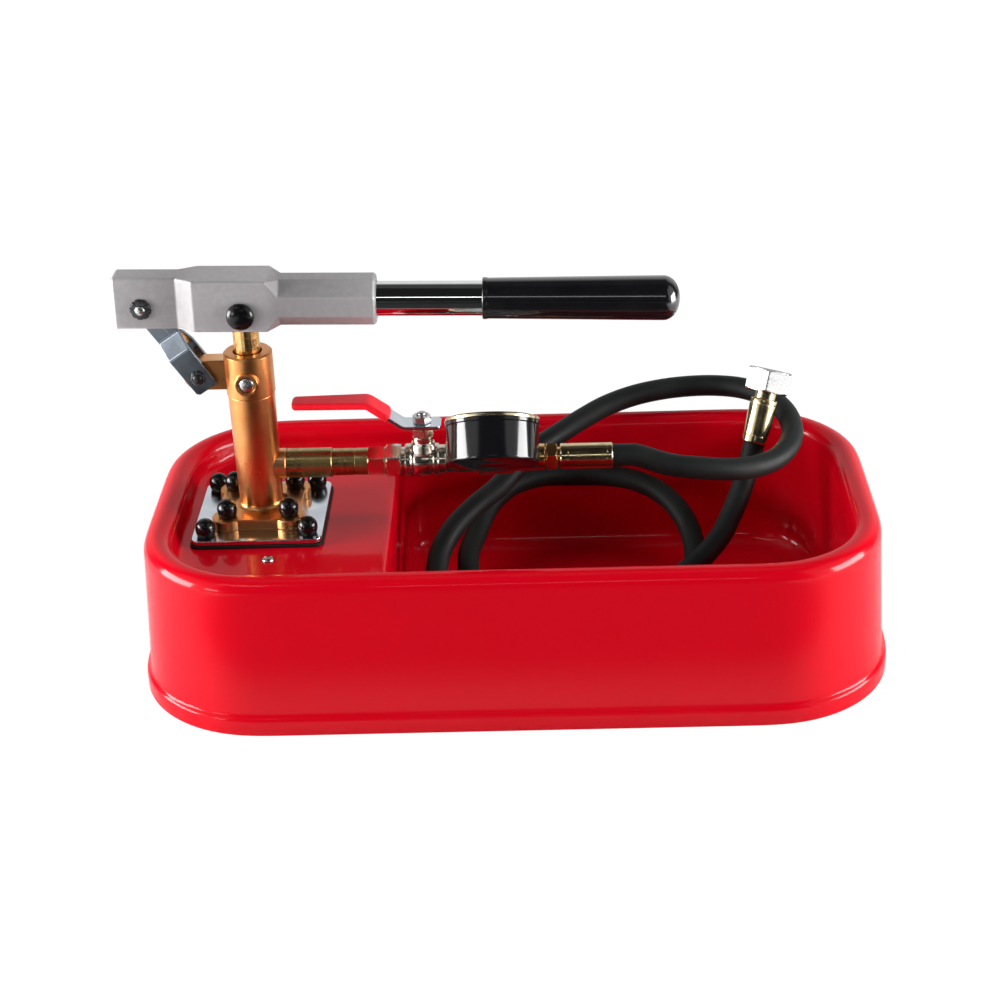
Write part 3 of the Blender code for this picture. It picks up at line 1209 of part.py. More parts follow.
def build_gauge():
    place = gauge_place()
    half = GAUGE_DEPTH / 2
    floor = GAUGE_WALL - half
    inner = GAUGE_RADIUS - GAUGE_WALL
    dial_seat = half - DIAL_DEPTH - DIAL_THICKNESS
    ledge = inner - DIAL_LEDGE
    # the cup is turned as a solid and its inside is cut, so that the stem can be joined first
    case = rod("gauge_case", GAUGE_RADIUS, -half, half, place)
    stem_top = GAUGE_DISTANCE - GAUGE_RADIUS
    stem = branch_place()
    join(case, hex_piece("gauge_stem", GAUGE_STEM_FLATS, BRANCH_REACH + SEAT_GAP, stem_top + GAUGE_WALL / 2,
                         0, stem))
    spigot_bottom = BRANCH_REACH - GAUGE_SPIGOT_LENGTH
    join(case, rod("gauge_spigot", GAUGE_SPIGOT_RADIUS, spigot_bottom, stem_top, stem, SMALL_STEPS))
    space = [(0, half + OVERRUN), (inner, half + OVERRUN), (inner, dial_seat), (ledge, dial_seat)]
    space += [(ledge, floor), (0, floor)]
    cut(case, turned("gauge_space", space, place))
    cut(case, rod("gauge_stem_bore", INLET_RADIUS / 2, spigot_bottom - OVERRUN, stem_top + GAUGE_RADIUS / 2,
                  stem, SIDE_HOLE_STEPS))
    as_part(case, GLOSSY_BLACK)

    dial_bottom = dial_seat + SEAT_GAP
    dial_top = dial_bottom + DIAL_THICKNESS
    as_part(ring("gauge_dial", inner - SEAT_GAP, ARBOR_RADIUS + SEAT_GAP, dial_bottom, dial_top, place), DIAL_WHITE)
    low = (-MOVEMENT_LENGTH / 2, -MOVEMENT_WIDTH / 2, dial_bottom - SEAT_GAP - MOVEMENT_HEIGHT)
    high = (MOVEMENT_LENGTH / 2, MOVEMENT_WIDTH / 2, dial_bottom - SEAT_GAP)
    movement = box("gauge_movement", low, high, place)
    cut(movement, rod("movement_hole", ARBOR_RADIUS + SEAT_GAP, low[2] / 2 + high[2] / 2, high[2] + OVERRUN,
                      place, HOLE_STEPS))
    as_part(movement, BRASS)

    base = dial_top + POINTER_LIFT
    side = POINTER_HALF_WIDTH
    tip = POINTER_TIP_HALF_WIDTH
    hub_angle = math.asin(side / POINTER_HUB_RADIUS)
    outline = [(tip, POINTER_LENGTH), (-tip, POINTER_LENGTH)]
    quarter = math.pi / 2
    outline += arc(0, 0, POINTER_HUB_RADIUS, quarter + hub_angle, 3 * quarter - hub_angle, ROLL_STEPS)
    outline += [(-side, -POINTER_TAIL), (side, -POINTER_TAIL)]
    outline += arc(0, 0, POINTER_HUB_RADIUS, hub_angle - quarter, quarter - hub_angle, ROLL_STEPS)
    lift = shift(0, 0, base + POINTER_THICKNESS / 2)
    pointer = flat("gauge_pointer", [outline], POINTER_THICKNESS, lift, NEEDLE_FRAME)
    join(pointer, rod("pointer_arbor", ARBOR_RADIUS, dial_bottom - MOVEMENT_HEIGHT / 3,
                      base + 2 * POINTER_THICKNESS, UPRIGHT, HOLE_STEPS, NEEDLE_FRAME))
    as_part(pointer, BLACK_PLASTIC)

    glass_bottom = half + SEAT_GAP
    glass_top = glass_bottom + GLASS_THICKNESS
    glass_radius = inner + GLASS_BITE
    as_part(rod("gauge_glass", glass_radius, glass_bottom, glass_top, place), CLEAR_GLASS)
    lip_bottom = glass_top + SEAT_GAP
    lip_top = lip_bottom + BEZEL_LIP
    profile = [(BEZEL_OPENING_RADIUS, lip_top - BEZEL_EDGE / 2), (BEZEL_RADIUS - BEZEL_EDGE, lip_top)]
    profile += [(BEZEL_RADIUS, lip_top - BEZEL_EDGE), (BEZEL_RADIUS, glass_bottom)]
    profile += [(glass_radius + SEAT_GAP, glass_bottom), (glass_radius + SEAT_GAP, lip_bottom)]
    profile += [(BEZEL_OPENING_RADIUS, lip_bottom)]
    as_part(turned("gauge_bezel", profile, place), PALE_GOLD)


# Hose, its fittings and its free end

def build_hose_fittings():
    ring_end = ADAPTER_RING_LENGTH
    hex_start = ring_end + ADAPTER_NECK_LENGTH
    hex_end = hex_start + ADAPTER_HEX_LENGTH
    end = hex_end + ADAPTER_TAIL_LENGTH
    place = line_place(ADAPTER_X)
    adapter = hex_piece("hose_adapter", ADAPTER_FLATS, hex_start, hex_end, 0, place)
    profile = [(0, end), (ADAPTER_NECK_RADIUS, end), (ADAPTER_NECK_RADIUS, ring_end)]
    profile += [(ADAPTER_RING_RADIUS, ring_end), (ADAPTER_RING_RADIUS, 0), (0, 0)]
    join(adapter, turned("adapter_ring", profile, place))
    cut(adapter, rod("adapter_bore", LINE_BORE_RADIUS, -OVERRUN, end + OVERRUN, place, HOLE_STEPS))
    as_part(adapter, GOLDEN_STEEL)
    profile = crimped_profile(FERRULE_RADIUS, 0, FERRULE_LENGTH)
    as_part(turned("hose_ferrule", profile + [(LINE_BORE_RADIUS, 0), (LINE_BORE_RADIUS, FERRULE_LENGTH)],
                   line_place(FERRULE_X)), YELLOW_ZINC)
    profile = [(LINE_BORE_RADIUS, TAIL_CONE_END), (TAIL_CONE_RADIUS, TAIL_CONE_END)]
    profile += [(TAIL_COLLAR_RADIUS, TAIL_COLLAR_END), (TAIL_COLLAR_RADIUS, TAIL_NECK_END)]
    profile += [(TAIL_NECK_RADIUS, TAIL_NECK_END), (TAIL_NECK_RADIUS, TAIL_FERRULE_LENGTH)]
    profile += crimped_profile(TAIL_FERRULE_RADIUS, 0, TAIL_FERRULE_LENGTH) + [(LINE_BORE_RADIUS, 0)]
    as_part(turned("tail_ferrule", profile, tail_place()), YELLOW_ZINC)
    build_union_nut()


def crimped_profile(radius, bottom, top):
    # the outer side of a ferrule, from its top down, with two rolled grooves
    profile = [(radius - FERRULE_EDGE, top), (radius, top - FERRULE_EDGE)]
    for share in GROOVE_PLACE_SHARES:
        middle = top + (bottom - top) * share
        profile += [(radius, middle + GROOVE_HALF), (radius - GROOVE_DEPTH, middle), (radius, middle - GROOVE_HALF)]
    profile += [(radius, bottom + FERRULE_EDGE), (radius - FERRULE_EDGE, bottom)]
    return profile


def tail_place():
    turned_back = Matrix.Rotation(-TAIL_TILT, 4, "X") @ Matrix.Rotation(TAIL_LEAN, 4, "Y")
    return shift(TAIL_X, TAIL_Y, TAIL_Z) @ turned_back @ shift(0, 0, SEAT_GAP)


def build_union_nut():
    low = UNION_START
    high = UNION_START + UNION_LENGTH
    nut = hex_piece("union_nut", UNION_FLATS, low, high, 0, UPRIGHT, UNION_FRAME, UNION_TURN)
    corner = UNION_FLATS / math.sqrt(3)
    cone_side = UNION_EDGE + corner - UNION_FLATS / 2
    throat = TAIL_NECK_RADIUS + SEAT_GAP
    top = high + OVERRUN
    bottom = low - OVERRUN
    wide = corner + OVERRUN
    slope = (top - high) + cone_side / 2
    profile = [(UNION_BORE_RADIUS, top), (corner - cone_side - OVERRUN, top), (wide, top - slope)]
    profile += [(wide, bottom + slope), (corner - cone_side - OVERRUN, bottom), (throat, bottom)]
    profile += [(throat, low + UNION_LIP), (UNION_BORE_RADIUS, low + UNION_LIP)]
    combine(nut, turned("union_chamfers", profile, HALF_STEP_TURN, FINE_STEPS, UNION_FRAME), "INTERSECT")
    as_part(nut, STEEL)


def smooth_path(route, step):
    # an even walk along the curve through the route's points; both end stretches stay straight
    points = [Vector(point) for point in route]
    dense = []
    for before, start, end, after in zip(points, points[1:], points[2:], points[3:]):
        for part in range(CURVE_PARTS):
            t = part / CURVE_PARTS
            bend = 2 * before - 5 * start + 4 * end - after
            twist = 3 * start - before - 3 * end + after
            dense.append(start + ((end - before) * t + bend * t ** 2 + twist * t ** 3) / 2)
    dense.append(points[-2])
    lengths = [0]
    for here, there in zip(dense, dense[1:]):
        lengths.append(lengths[-1] + (there - here).length)
    count = round(lengths[-1] / step)
    path = [points[0]]
    index = 0
    for number in range(count + 1):
        goal = lengths[-1] * number / count
        while index < len(dense) - 2 and lengths[index + 1] < goal:
            index += 1
        part = (goal - lengths[index]) / (lengths[index + 1] - lengths[index])
        path.append(dense[index].lerp(dense[index + 1], part))
    path.append(points[-1])
    return path


def build_hose():
    path = smooth_path(HOSE_ROUTE, HOSE_POINT_STEP)
    as_part(pipe("hose", path, HOSE_DIAMETER / 2, 3), HOSE_BLACK)


# Shares of the sizes that they follow


clear_scene()
PARTS = make_collection("hydrostatic_test_pump")
TOOLS = make_collection("hydrostatic_test_pump_tools")

RED_PAINT = make_material("red_paint", (0.72, 0.010, 0.020), 0.22, 0.0)
ZINC = make_material("zinc", (0.62, 0.62, 0.62), 0.32, 1.0)
STEEL = make_material("steel", (0.66, 0.66, 0.68), 0.25, 1.0)
CHROME = make_material("chrome", (0.86, 0.86, 0.88), 0.08, 1.0)
NICKEL = make_material("nickel", (0.70, 0.66, 0.58), 0.22, 1.0)
BRASS = make_material("brass", (0.78, 0.58, 0.26), 0.28, 1.0)
ORANGE_BRASS = make_material("orange_brass", (0.83, 0.42, 0.12), 0.35, 1.0)
GOLDEN_STEEL = make_material("golden_steel", (0.74, 0.60, 0.38), 0.22, 1.0)
YELLOW_ZINC = make_material("yellow_zinc", (0.76, 0.71, 0.50), 0.18, 1.0)
PALE_GOLD = make_material("pale_gold", (0.85, 0.74, 0.58), 0.20, 1.0)
CAST_GREY = make_material("cast_grey", (0.30, 0.30, 0.31), 0.42, 0.9)
BLACK_STEEL = make_material("black_steel", (0.03, 0.03, 0.03), 0.35, 0.6)
BLACK_PLASTIC = make_material("black_plastic", (0.012, 0.012, 0.012), 0.30, 0.0)
GLOSSY_BLACK = make_material("glossy_black", (0.008, 0.008, 0.008), 0.08, 0.0)
BLACK_RUBBER = make_material("black_rubber", (0.015, 0.015, 0.015), 0.70, 0.0)
HOSE_BLACK = make_material("hose_black", (0.020, 0.022, 0.022), 0.55, 0.0)
RED_VINYL = make_material("red_vinyl", (0.62, 0.03, 0.03), 0.35, 0.0)
DIAL_WHITE = make_material("dial_white", (0.85, 0.85, 0.83), 0.50, 0.0)
CLEAR_GLASS = make_material("clear_glass", (0.90, 0.93, 0.93), 0.02, 0.0)

PISTON_FRAME = make_frame("piston_frame", shift(*PIVOT_C))
LEVER_FRAME = make_frame("lever_frame", shift(*PIVOT_C) @ Matrix.Rotation(LEVER_TILT, 4, "Y"))
LINK_FRAME = make_frame("link_frame", shift(*PIVOT_B))
LINK_FRAME_TURN = link_place()
VALVE_FRAME = make_frame("valve_frame", shift(STEM_X, 0, LINE_HEIGHT))
NEEDLE_FRAME = make_frame("needle_frame", gauge_place())
UNION_FRAME = make_frame("union_frame", tail_place())

build_tank()
build_plate()
build_bolts()
build_pump_body()
build_suction()
build_head()
build_plunger()
build_lever()
build_link("link_front", 1)
build_link("link_back", -1)
build_pins()
build_outlet_line()
build_valve()
build_tee()
build_gauge()
build_hose_fittings()
build_hose()
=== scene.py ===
from math import acos, atan, cos, degrees, hypot, pi, radians, sin, sqrt, tan

import bmesh
import bpy
from mathutils import Matrix, Vector


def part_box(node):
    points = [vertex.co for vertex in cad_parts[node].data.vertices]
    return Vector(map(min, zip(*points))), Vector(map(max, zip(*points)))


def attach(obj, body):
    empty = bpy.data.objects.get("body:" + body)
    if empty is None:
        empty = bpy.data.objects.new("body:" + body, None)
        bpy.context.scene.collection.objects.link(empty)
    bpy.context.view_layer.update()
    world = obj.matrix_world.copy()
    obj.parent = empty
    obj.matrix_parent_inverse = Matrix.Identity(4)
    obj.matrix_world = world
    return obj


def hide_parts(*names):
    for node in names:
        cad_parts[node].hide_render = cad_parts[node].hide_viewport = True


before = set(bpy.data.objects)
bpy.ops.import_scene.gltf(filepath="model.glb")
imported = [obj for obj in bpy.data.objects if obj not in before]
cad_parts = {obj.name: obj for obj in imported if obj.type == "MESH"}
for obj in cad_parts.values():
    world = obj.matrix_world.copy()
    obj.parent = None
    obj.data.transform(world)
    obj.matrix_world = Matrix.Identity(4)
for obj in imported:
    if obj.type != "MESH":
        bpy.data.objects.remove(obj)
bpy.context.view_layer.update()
print("solids loaded")


# Placing
def move(x, y, z):
    return Matrix.Translation((x, y, z))


def rotate(angle, axis="Z"):
    return Matrix.Rotation(radians(angle), 4, axis)


def axes(x, y, z):
    return Matrix((x, y, z)).transposed().to_4x4()


alongX = rotate(90, "Y")        # a turned shape's own Z laid along +X
towardFront = rotate(90, "X")   # own Z laid along -Y


def newObject(name, data):
    item = bpy.data.objects.new(name, data)
    bpy.context.scene.collection.objects.link(item)
    return item


# Camera, set from the tub's outlines in the photograph
cameraSettings = {
    "eye": (0.02277, -0.99857, 0.59321),
    "right": (0.99936, 0.01195, -0.03364),
    "up": (0.02446, 0.45691, 0.88918),
    "back": (0.02600, -0.88943, 0.45632),
    "lens": 72.63,
}


def makeCamera(s):
    data = bpy.data.cameras.new("camera")
    data.sensor_width, data.lens, data.clip_end = 36, s["lens"], 50
    camera = newObject("camera", data)
    camera.matrix_world = move(*s["eye"]) @ axes(s["right"], s["up"], s["back"])
    bpy.context.scene.camera = camera


makeCamera(cameraSettings)


# Mesh tools
quarters = ((1, 1, 0), (-1, 1, 90), (-1, -1, 180), (1, -1, 270))     # a rectangle's corners and their first angle
boxFaces = [(0, 1, 3, 2), (4, 6, 7, 5), (0, 4, 5, 1), (2, 3, 7, 6), (0, 2, 6, 4), (1, 5, 7, 3)]


def meshObject(name, verts, faces, smooth=True):
    mesh = bpy.data.meshes.new(name)
    mesh.from_pydata([tuple(v) for v in verts], [], faces)
    mesh.validate()
    if smooth:
        mesh.shade_smooth()
    return newObject(name, mesh)


def solved(item):
    # the mesh of an item with its modifiers or nodes worked out
    bpy.context.view_layer.update()
    return bpy.data.meshes.new_from_object(item.evaluated_get(bpy.context.evaluated_depsgraph_get()))


def plainMesh(item):
    # a curve, a text or an object with nodes becomes a plain mesh of the same name
    name, mesh = item.name, solved(item)
    bpy.data.objects.remove(item)
    mesh.name = name
    return newObject(name, mesh)


def closeMesh(item):
    bm = bmesh.new()
    bm.from_mesh(item.data)
    bmesh.ops.remove_doubles(bm, verts=bm.verts, dist=1e-6)
    bmesh.ops.recalc_face_normals(bm, faces=bm.faces)
    bm.to_mesh(item.data)
    bm.free()
    return item


def joinItems(name, items):
    bm = bmesh.new()
    for item in items:
        bm.from_mesh(item.data)
        bpy.data.objects.remove(item)
    mesh = bpy.data.meshes.new(name)
    bm.to_mesh(mesh)
    bm.free()
    return newObject(name, mesh)


def modify(item, kind, **values):
    # a modifier is added and worked into the mesh at once
    modifier = item.modifiers.new(kind.lower(), kind)
    for name, value in values.items():
        setattr(modifier, name, value)
    mesh = solved(item)
    item.modifiers.clear()
    old, item.data = item.data, mesh
    mesh.name = item.name
    if not old.users:
        bpy.data.meshes.remove(old)


def carve(item, tool, operation="DIFFERENCE"):
    modify(item, "BOOLEAN", operation=operation, solver="EXACT", object=tool)
    bpy.data.objects.remove(tool)
    return item


def arcPoints(cx, cy, radius, start, end, steps):
    # start and end in degrees, both ends included
    angles = [radians(start + (end - start) * k / steps) for k in range(steps + 1)]
    return [(cx + radius * cos(a), cy + radius * sin(a)) for a in angles]


def softBox(halfX, halfY, radius, steps):
    points = []
    for sx, sy, angle in quarters:
        points += arcPoints(sx * (halfX - radius), sy * (halfY - radius), radius, angle, angle + 90, steps)
    return points


def dome(radius, base, rise, angles, power=1):
    # rows (radius, height) of a rounded end, at these degrees from its top
    return [(radius * sin(radians(a)) ** power, base + rise * cos(radians(a))) for a in angles]


def rodRows(radius, low, high, edge):
    return [(0, high), (radius - edge, high), (radius, high - edge), (radius, low + edge), (radius - edge, low),
        (0, low)]


def circle(radius, height, steps=96, turn=0.0):
    angles = [2 * pi * k / steps + turn for k in range(steps)]
    return [(radius * cos(a), radius * sin(a), height) for a in angles]


def softCorners(profile, closed):
    # profile of (x, y) or (x, y, radius): corners with a radius are rounded by a short arc
    points, count = [], len(profile)
    for index, (x, y, *radius) in enumerate(profile):
        if not radius or (not closed and index in (0, count - 1)):
            points.append((x, y))
            continue
        here = Vector((x, y))
        before = Vector(profile[index - 1][:2]) - here
        after = Vector(profile[(index + 1) % count][:2]) - here
        reach = min(radius[0] / tan(before.angle(after) / 2), before.length * 0.49, after.length * 0.49)
        a, b = here + before.normalized() * reach, here + after.normalized() * reach
        for t in (0, 0.25, 0.5, 0.75, 1):
            points.append(tuple(a * (1 - t) ** 2 + here * 2 * t * (1 - t) + b * t ** 2))
    return points


def skin(name, rings, place, closed=False, capped=False, merged=True):
    # rings of points, each joined to the next; a ring of one point closes an end, and a closed skin goes round
    verts, faces, rows = [], [], []
    for ring in rings:
        rows.append(list(range(len(verts), len(verts) + len(ring))))
        verts += [place @ Vector(p) for p in ring]
    for upper, lower in zip(rows, rows[1:] + rows[:1] if closed else rows[1:]):
        count = max(len(upper), len(lower))
        for k in range(count):
            a, b = (k, k + 1) if merged else (k + 1, k)
            corners = [row[i % len(row)] for row, i in ((upper, a), (upper, b), (lower, b), (lower, a))]
            faces.append(list(dict.fromkeys(corners)))
    if capped:
        faces += [rows[0], rows[-1][::-1]]
    item = meshObject(name, verts, [face for face in faces if len(face) > 2])
    return closeMesh(item) if merged else item


def lathe(name, profile, place, steps=96, closed=False):
    # profile of (radius, height[, rounding]) from top to bottom; a closed one is a ring that has a hole
    rings = [circle(radius, height, steps) if radius > 1e-7 else [(0, 0, height)]
        for radius, height in softCorners(profile, closed)]
    return skin(name, rings, place, closed, merged=False)


def outlineSolid(name, outline, low, high, place, edge, holes=()):
    # a flat outline (x, y) given thickness along its own Z, with a small bevel all round its faces
    curve = bpy.data.curves.new(name, "CURVE")
    curve.dimensions, curve.fill_mode = "2D", "BOTH"
    curve.extrude = (high - low) / 2 - edge
    curve.bevel_depth, curve.bevel_resolution, curve.offset = edge, 2, -edge
    for points in (outline, *holes):
        addSpline(curve, [(*p, 0, 1) for p in points]).use_cyclic_u = True
    item = closeMesh(plainMesh(newObject(name, curve)))
    item.data.transform(place @ move(0, 0, (low + high) / 2))
    return item


def addSpline(curve, points):
    spline = curve.splines.new("POLY")
    spline.points.add(len(points) - 1)
    for target, source in zip(spline.points, points):
        target.co = source
    return spline


def boxTool(low, high, place):
    corners = [place @ Vector((x, y, z)) for x in (low[0], high[0]) for y in (low[1], high[1])
        for z in (low[2], high[2])]
    return closeMesh(meshObject("box_tool", corners, boxFaces, False))


def hexRings(flats, low, high, turn, steps=96, corner=0.992, face=0.97, shares=(0, 0.3, 0.62, 1)):
    # six flats whose corners run into a cone at both ends
    half = flats / 2
    corner, face = half / cos(pi / 6) * corner, half * face
    cone = (corner - face) / tan(radians(60))
    rings = []
    for height, share in [(low + cone * s, s) for s in shares] + [(high - cone * s, s) for s in reversed(shares)]:
        ring = []
        for k in range(steps):
            angle = 2 * pi * k / steps
            side = (angle + pi / 6) % (pi / 3) - pi / 6
            radius = min(half / cos(side), corner, face + (corner - face) * share)
            ring.append((radius * cos(angle + turn), radius * sin(angle + turn), height))
        rings.append(ring)
    return rings


def hexShape(name, flats, low, high, bore, place, turn=0.0):
    # a hexagon with a round hole right through, or a full one where the bore is zero
    rings = hexRings(flats, low, high, turn)
    if not bore:
        return skin(name, [circle(flats / 4, low, turn=turn), *rings, circle(flats / 4, high, turn=turn)], place,
            capped=True)
    lip = min(0.0004, (high - low) * 0.1)
    rings = [circle(bore, low + lip, turn=turn), circle(bore + lip, low, turn=turn), *rings,
        circle(bore + lip, high, turn=turn), circle(bore, high - lip, turn=turn)]
    return skin(name, rings, place, closed=True)


def slottedScrew(name, radius, height, slot, place):
    rows = dome(radius, height * 0.35, height * 0.65, (18, 36, 54, 72, 90))
    head = lathe(name, [(0, height), *rows, (radius, 0), (0, 0)], place, 64)
    width, depth = slot
    low, high = (-radius * 2, -width / 2, height - depth), (radius * 2, width / 2, height * 2)
    return carve(head, boxTool(low, high, place))


def dress(item, material, slot, *nodes, body="base", sharp=40, weighted=True):
    # the last step of a piece: shading, material, the body it rides on and the solids it stands for
    item.data.materials.clear()
    item.data.materials.append(material)
    item.data.shade_smooth()
    if weighted:
        item.data.set_sharp_from_angle(angle=radians(sharp))
        modify(item, "WEIGHTED_NORMAL", keep_sharp=True, weight=60)
    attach(item, body)
    if nodes:
        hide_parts(*nodes)
    return item


# Node tools. In a list of inputs a value is set, and a socket or a node's first output is linked
def feed(tree, node, inputs):
    for label, value in inputs.items():
        if isinstance(value, bpy.types.Node):
            value = value.outputs[0]
        if isinstance(value, bpy.types.NodeSocket):
            tree.links.new(value, node.inputs[label])
        else:
            node.inputs[label].default_value = value
    return node


def addNode(tree, kind, inputs=None, **values):
    node = tree.nodes.new(kind if "Node" in kind else "ShaderNode" + kind)
    for name, value in values.items():
        setattr(node, name, value)
    return feed(tree, node, inputs or {})


def calc(tree, operation, *values, **how):
    return addNode(tree, "Math", dict(enumerate(values)), operation=operation, **how)


def band(tree, value, start, end, low=0.0, high=1.0):
    # runs softly from low to high while the value runs from start to end
    return addNode(tree, "MapRange", {"Value": value, "From Min": start, "From Max": end, "To Min": low,
            "To Max": high}, interpolation_type="SMOOTHSTEP")


def newTree(name, kind, inputs, outputs):
    # inputs and outputs are (label, kind of socket[, value])
    tree = bpy.data.node_groups.new(name, kind + "NodeTree")
    for direction, sockets in (("INPUT", inputs), ("OUTPUT", outputs)):
        for label, socketKind, *value in sockets:
            socket = tree.interface.new_socket(name=label, in_out=direction, socket_type="NodeSocket" + socketKind)
            if value:
                socket.default_value = value[0]
    return tree, tree.nodes.new("NodeGroupInput").outputs, tree.nodes.new("NodeGroupOutput")


def objectSpace(tree):
    return addNode(tree, "TexCoord").outputs["Object"]


# Shader node groups for what several finishes share
def makeGrainGroup():
    # fine cast or moulded grain: a height, and a slow mottling from 0 to 1
    tree, given, out = newTree("surfaceGrain", "Shader",
        [("Vector", "Vector"), ("Grain Size", "Float", 900.0), ("Mottle Size", "Float", 60.0)],
        [("Height", "Float"), ("Mottle", "Float")])
    fine = addNode(tree, "TexNoise", {"Vector": given["Vector"], "Scale": given["Grain Size"], "Detail": 3,
            "Roughness": 0.6})
    slow = addNode(tree, "TexNoise", {"Vector": given["Vector"], "Scale": given["Mottle Size"], "Detail": 4})
    feed(tree, out, {"Height": fine, "Mottle": slow})
    return tree


def makeTurnedGroup():
    # rings left by a lathe, round the vector's Z: a height, and streaks from 0 to 1
    tree, given, out = newTree("turnedRings", "Shader",
        [("Vector", "Vector"), ("Ring Size", "Float", 2500.0), ("Streak Size", "Float", 300.0)],
        [("Height", "Float"), ("Streaks", "Float")])
    z = addNode(tree, "SeparateXYZ", {0: given["Vector"]}).outputs["Z"]
    for label, size, detail in (("Height", "Ring Size", 2), ("Streaks", "Streak Size", 3)):
        noise = addNode(tree, "TexNoise", {"W": z, "Scale": given[size], "Detail": detail}, noise_dimensions="1D")
        feed(tree, out, {label: noise})
    return tree


def makeWearGroup():
    # 1 along rubbed outer edges, broken up by noise
    tree, given, out = newTree("rubbedEdges", "Shader",
        [("Vector", "Vector"), ("Start", "Float", 0.53), ("End", "Float", 0.62),
            ("Breakup", "Float", 0.5)], [("Mask", "Float")])
    edge = band(tree, addNode(tree, "NewGeometry").outputs["Pointiness"], given["Start"], given["End"])
    patch = addNode(tree, "TexNoise", {"Vector": given["Vector"], "Scale": 350, "Detail": 4})
    broken = calc(tree, "MULTIPLY_ADD", patch, given["Breakup"], 0.5)
    feed(tree, out, {"Mask": calc(tree, "MULTIPLY", edge, broken, use_clamp=True)})
    return tree


grainGroup, turnedGroup, wearGroup = makeGrainGroup(), makeTurnedGroup(), makeWearGroup()
plainLook = {"grain": 900, "mottle": 60, "rings": 2500, "streaks": 300, "wear": (0.53, 0.62), "bump": 0.1,
    "depth": 0.0001, "metal": 0.0, "coat": 0.0, "coatRough": 0.05, "ior": 1.5}


def newMaterial(name):
    material = bpy.data.materials.new(name)
    material.use_nodes = True
    tree = material.node_tree
    return material, tree, tree.nodes["Principled BSDF"]


def ramp(tree, factor, low, high):
    # a colour or a value that runs from low to high over the middle of the factor
    node = addNode(tree, "ValToRGB", {"Fac": factor})
    node.color_ramp.interpolation = "EASE"
    for element, position, tone in zip(node.color_ramp.elements, (0.3, 0.7), (low, high)):
        element.position = position
        element.color = (*tone, 1) if isinstance(tone, tuple) else (tone, tone, tone, 1)
    return node


def addGrain(tree, fine, slow, where):
    inputs = {"Grain Size": fine, "Mottle Size": slow, "Vector": where}
    return addNode(tree, "Group", inputs, node_tree=grainGroup).outputs


def finishMaterial(name, look, turned=None):
    # one finish: two close colours mottled into each other, grain or lathe rings, rubbed edges
    look = {**plainLook, **look}
    material, tree, shader = newMaterial(name)
    where = addNode(tree, "Mapping", {"Vector": objectSpace(tree)}, vector_type="TEXTURE")
    grain = addGrain(tree, look["grain"], look["mottle"], where)
    height, tone = grain["Height"], grain["Mottle"]
    if turned is not None:
        feed(tree, where, {"Location": turned.translation, "Rotation": turned.to_euler()})
        rings = addNode(tree, "Group", {"Ring Size": look["rings"], "Streak Size": look["streaks"], "Vector": where},
            node_tree=turnedGroup)
        height = rings.outputs["Height"]
        tone = calc(tree, "MULTIPLY_ADD", rings.outputs["Streaks"], 0.5, calc(tree, "MULTIPLY", tone, 0.5))
    color = ramp(tree, tone, *look["colors"])
    if "worn" in look:
        start, end = look["wear"]
        wear = addNode(tree, "Group", {"Start": start, "End": end, "Vector": where}, node_tree=wearGroup)
        color = addNode(tree, "Mix", {"Factor": wear, "A": color, "B": (*look["worn"], 1)},
            data_type="RGBA").outputs["Result"]
    bump = addNode(tree, "Bump", {"Strength": look["bump"], "Distance": look["depth"], "Height": height})
    feed(tree, shader, {"Base Color": color, "Roughness": ramp(tree, tone, *reversed(look["rough"])), "Normal": bump,
            "Metallic": look["metal"], "Coat Weight": look["coat"], "Coat Roughness": look["coatRough"],
            "IOR": look["ior"]})
    material.diffuse_color = (*look["colors"][0], 1)
    return material


print("camera, tools and finishes ready")


# Geometry Nodes trees: run on an object, and ended alike
def runTree(item, tree, values):
    # the inputs are set by identifier, and the result is turned into plain mesh
    modifier = item.modifiers.new("nodes", "NODES")
    modifier.node_group = tree
    for socket in tree.interface.items_tree:
        if socket.in_out == "INPUT" and socket.name in values:
            modifier[socket.identifier] = values[socket.name]
    return plainMesh(item)


def endTree(tree, out, geometry, material):
    real = addNode(tree, "GeometryNodeRealizeInstances", {"Geometry": geometry})
    paint = addNode(tree, "GeometryNodeSetMaterial", {"Geometry": real, "Material": material})
    feed(tree, out, {"Geometry": paint})
    return tree


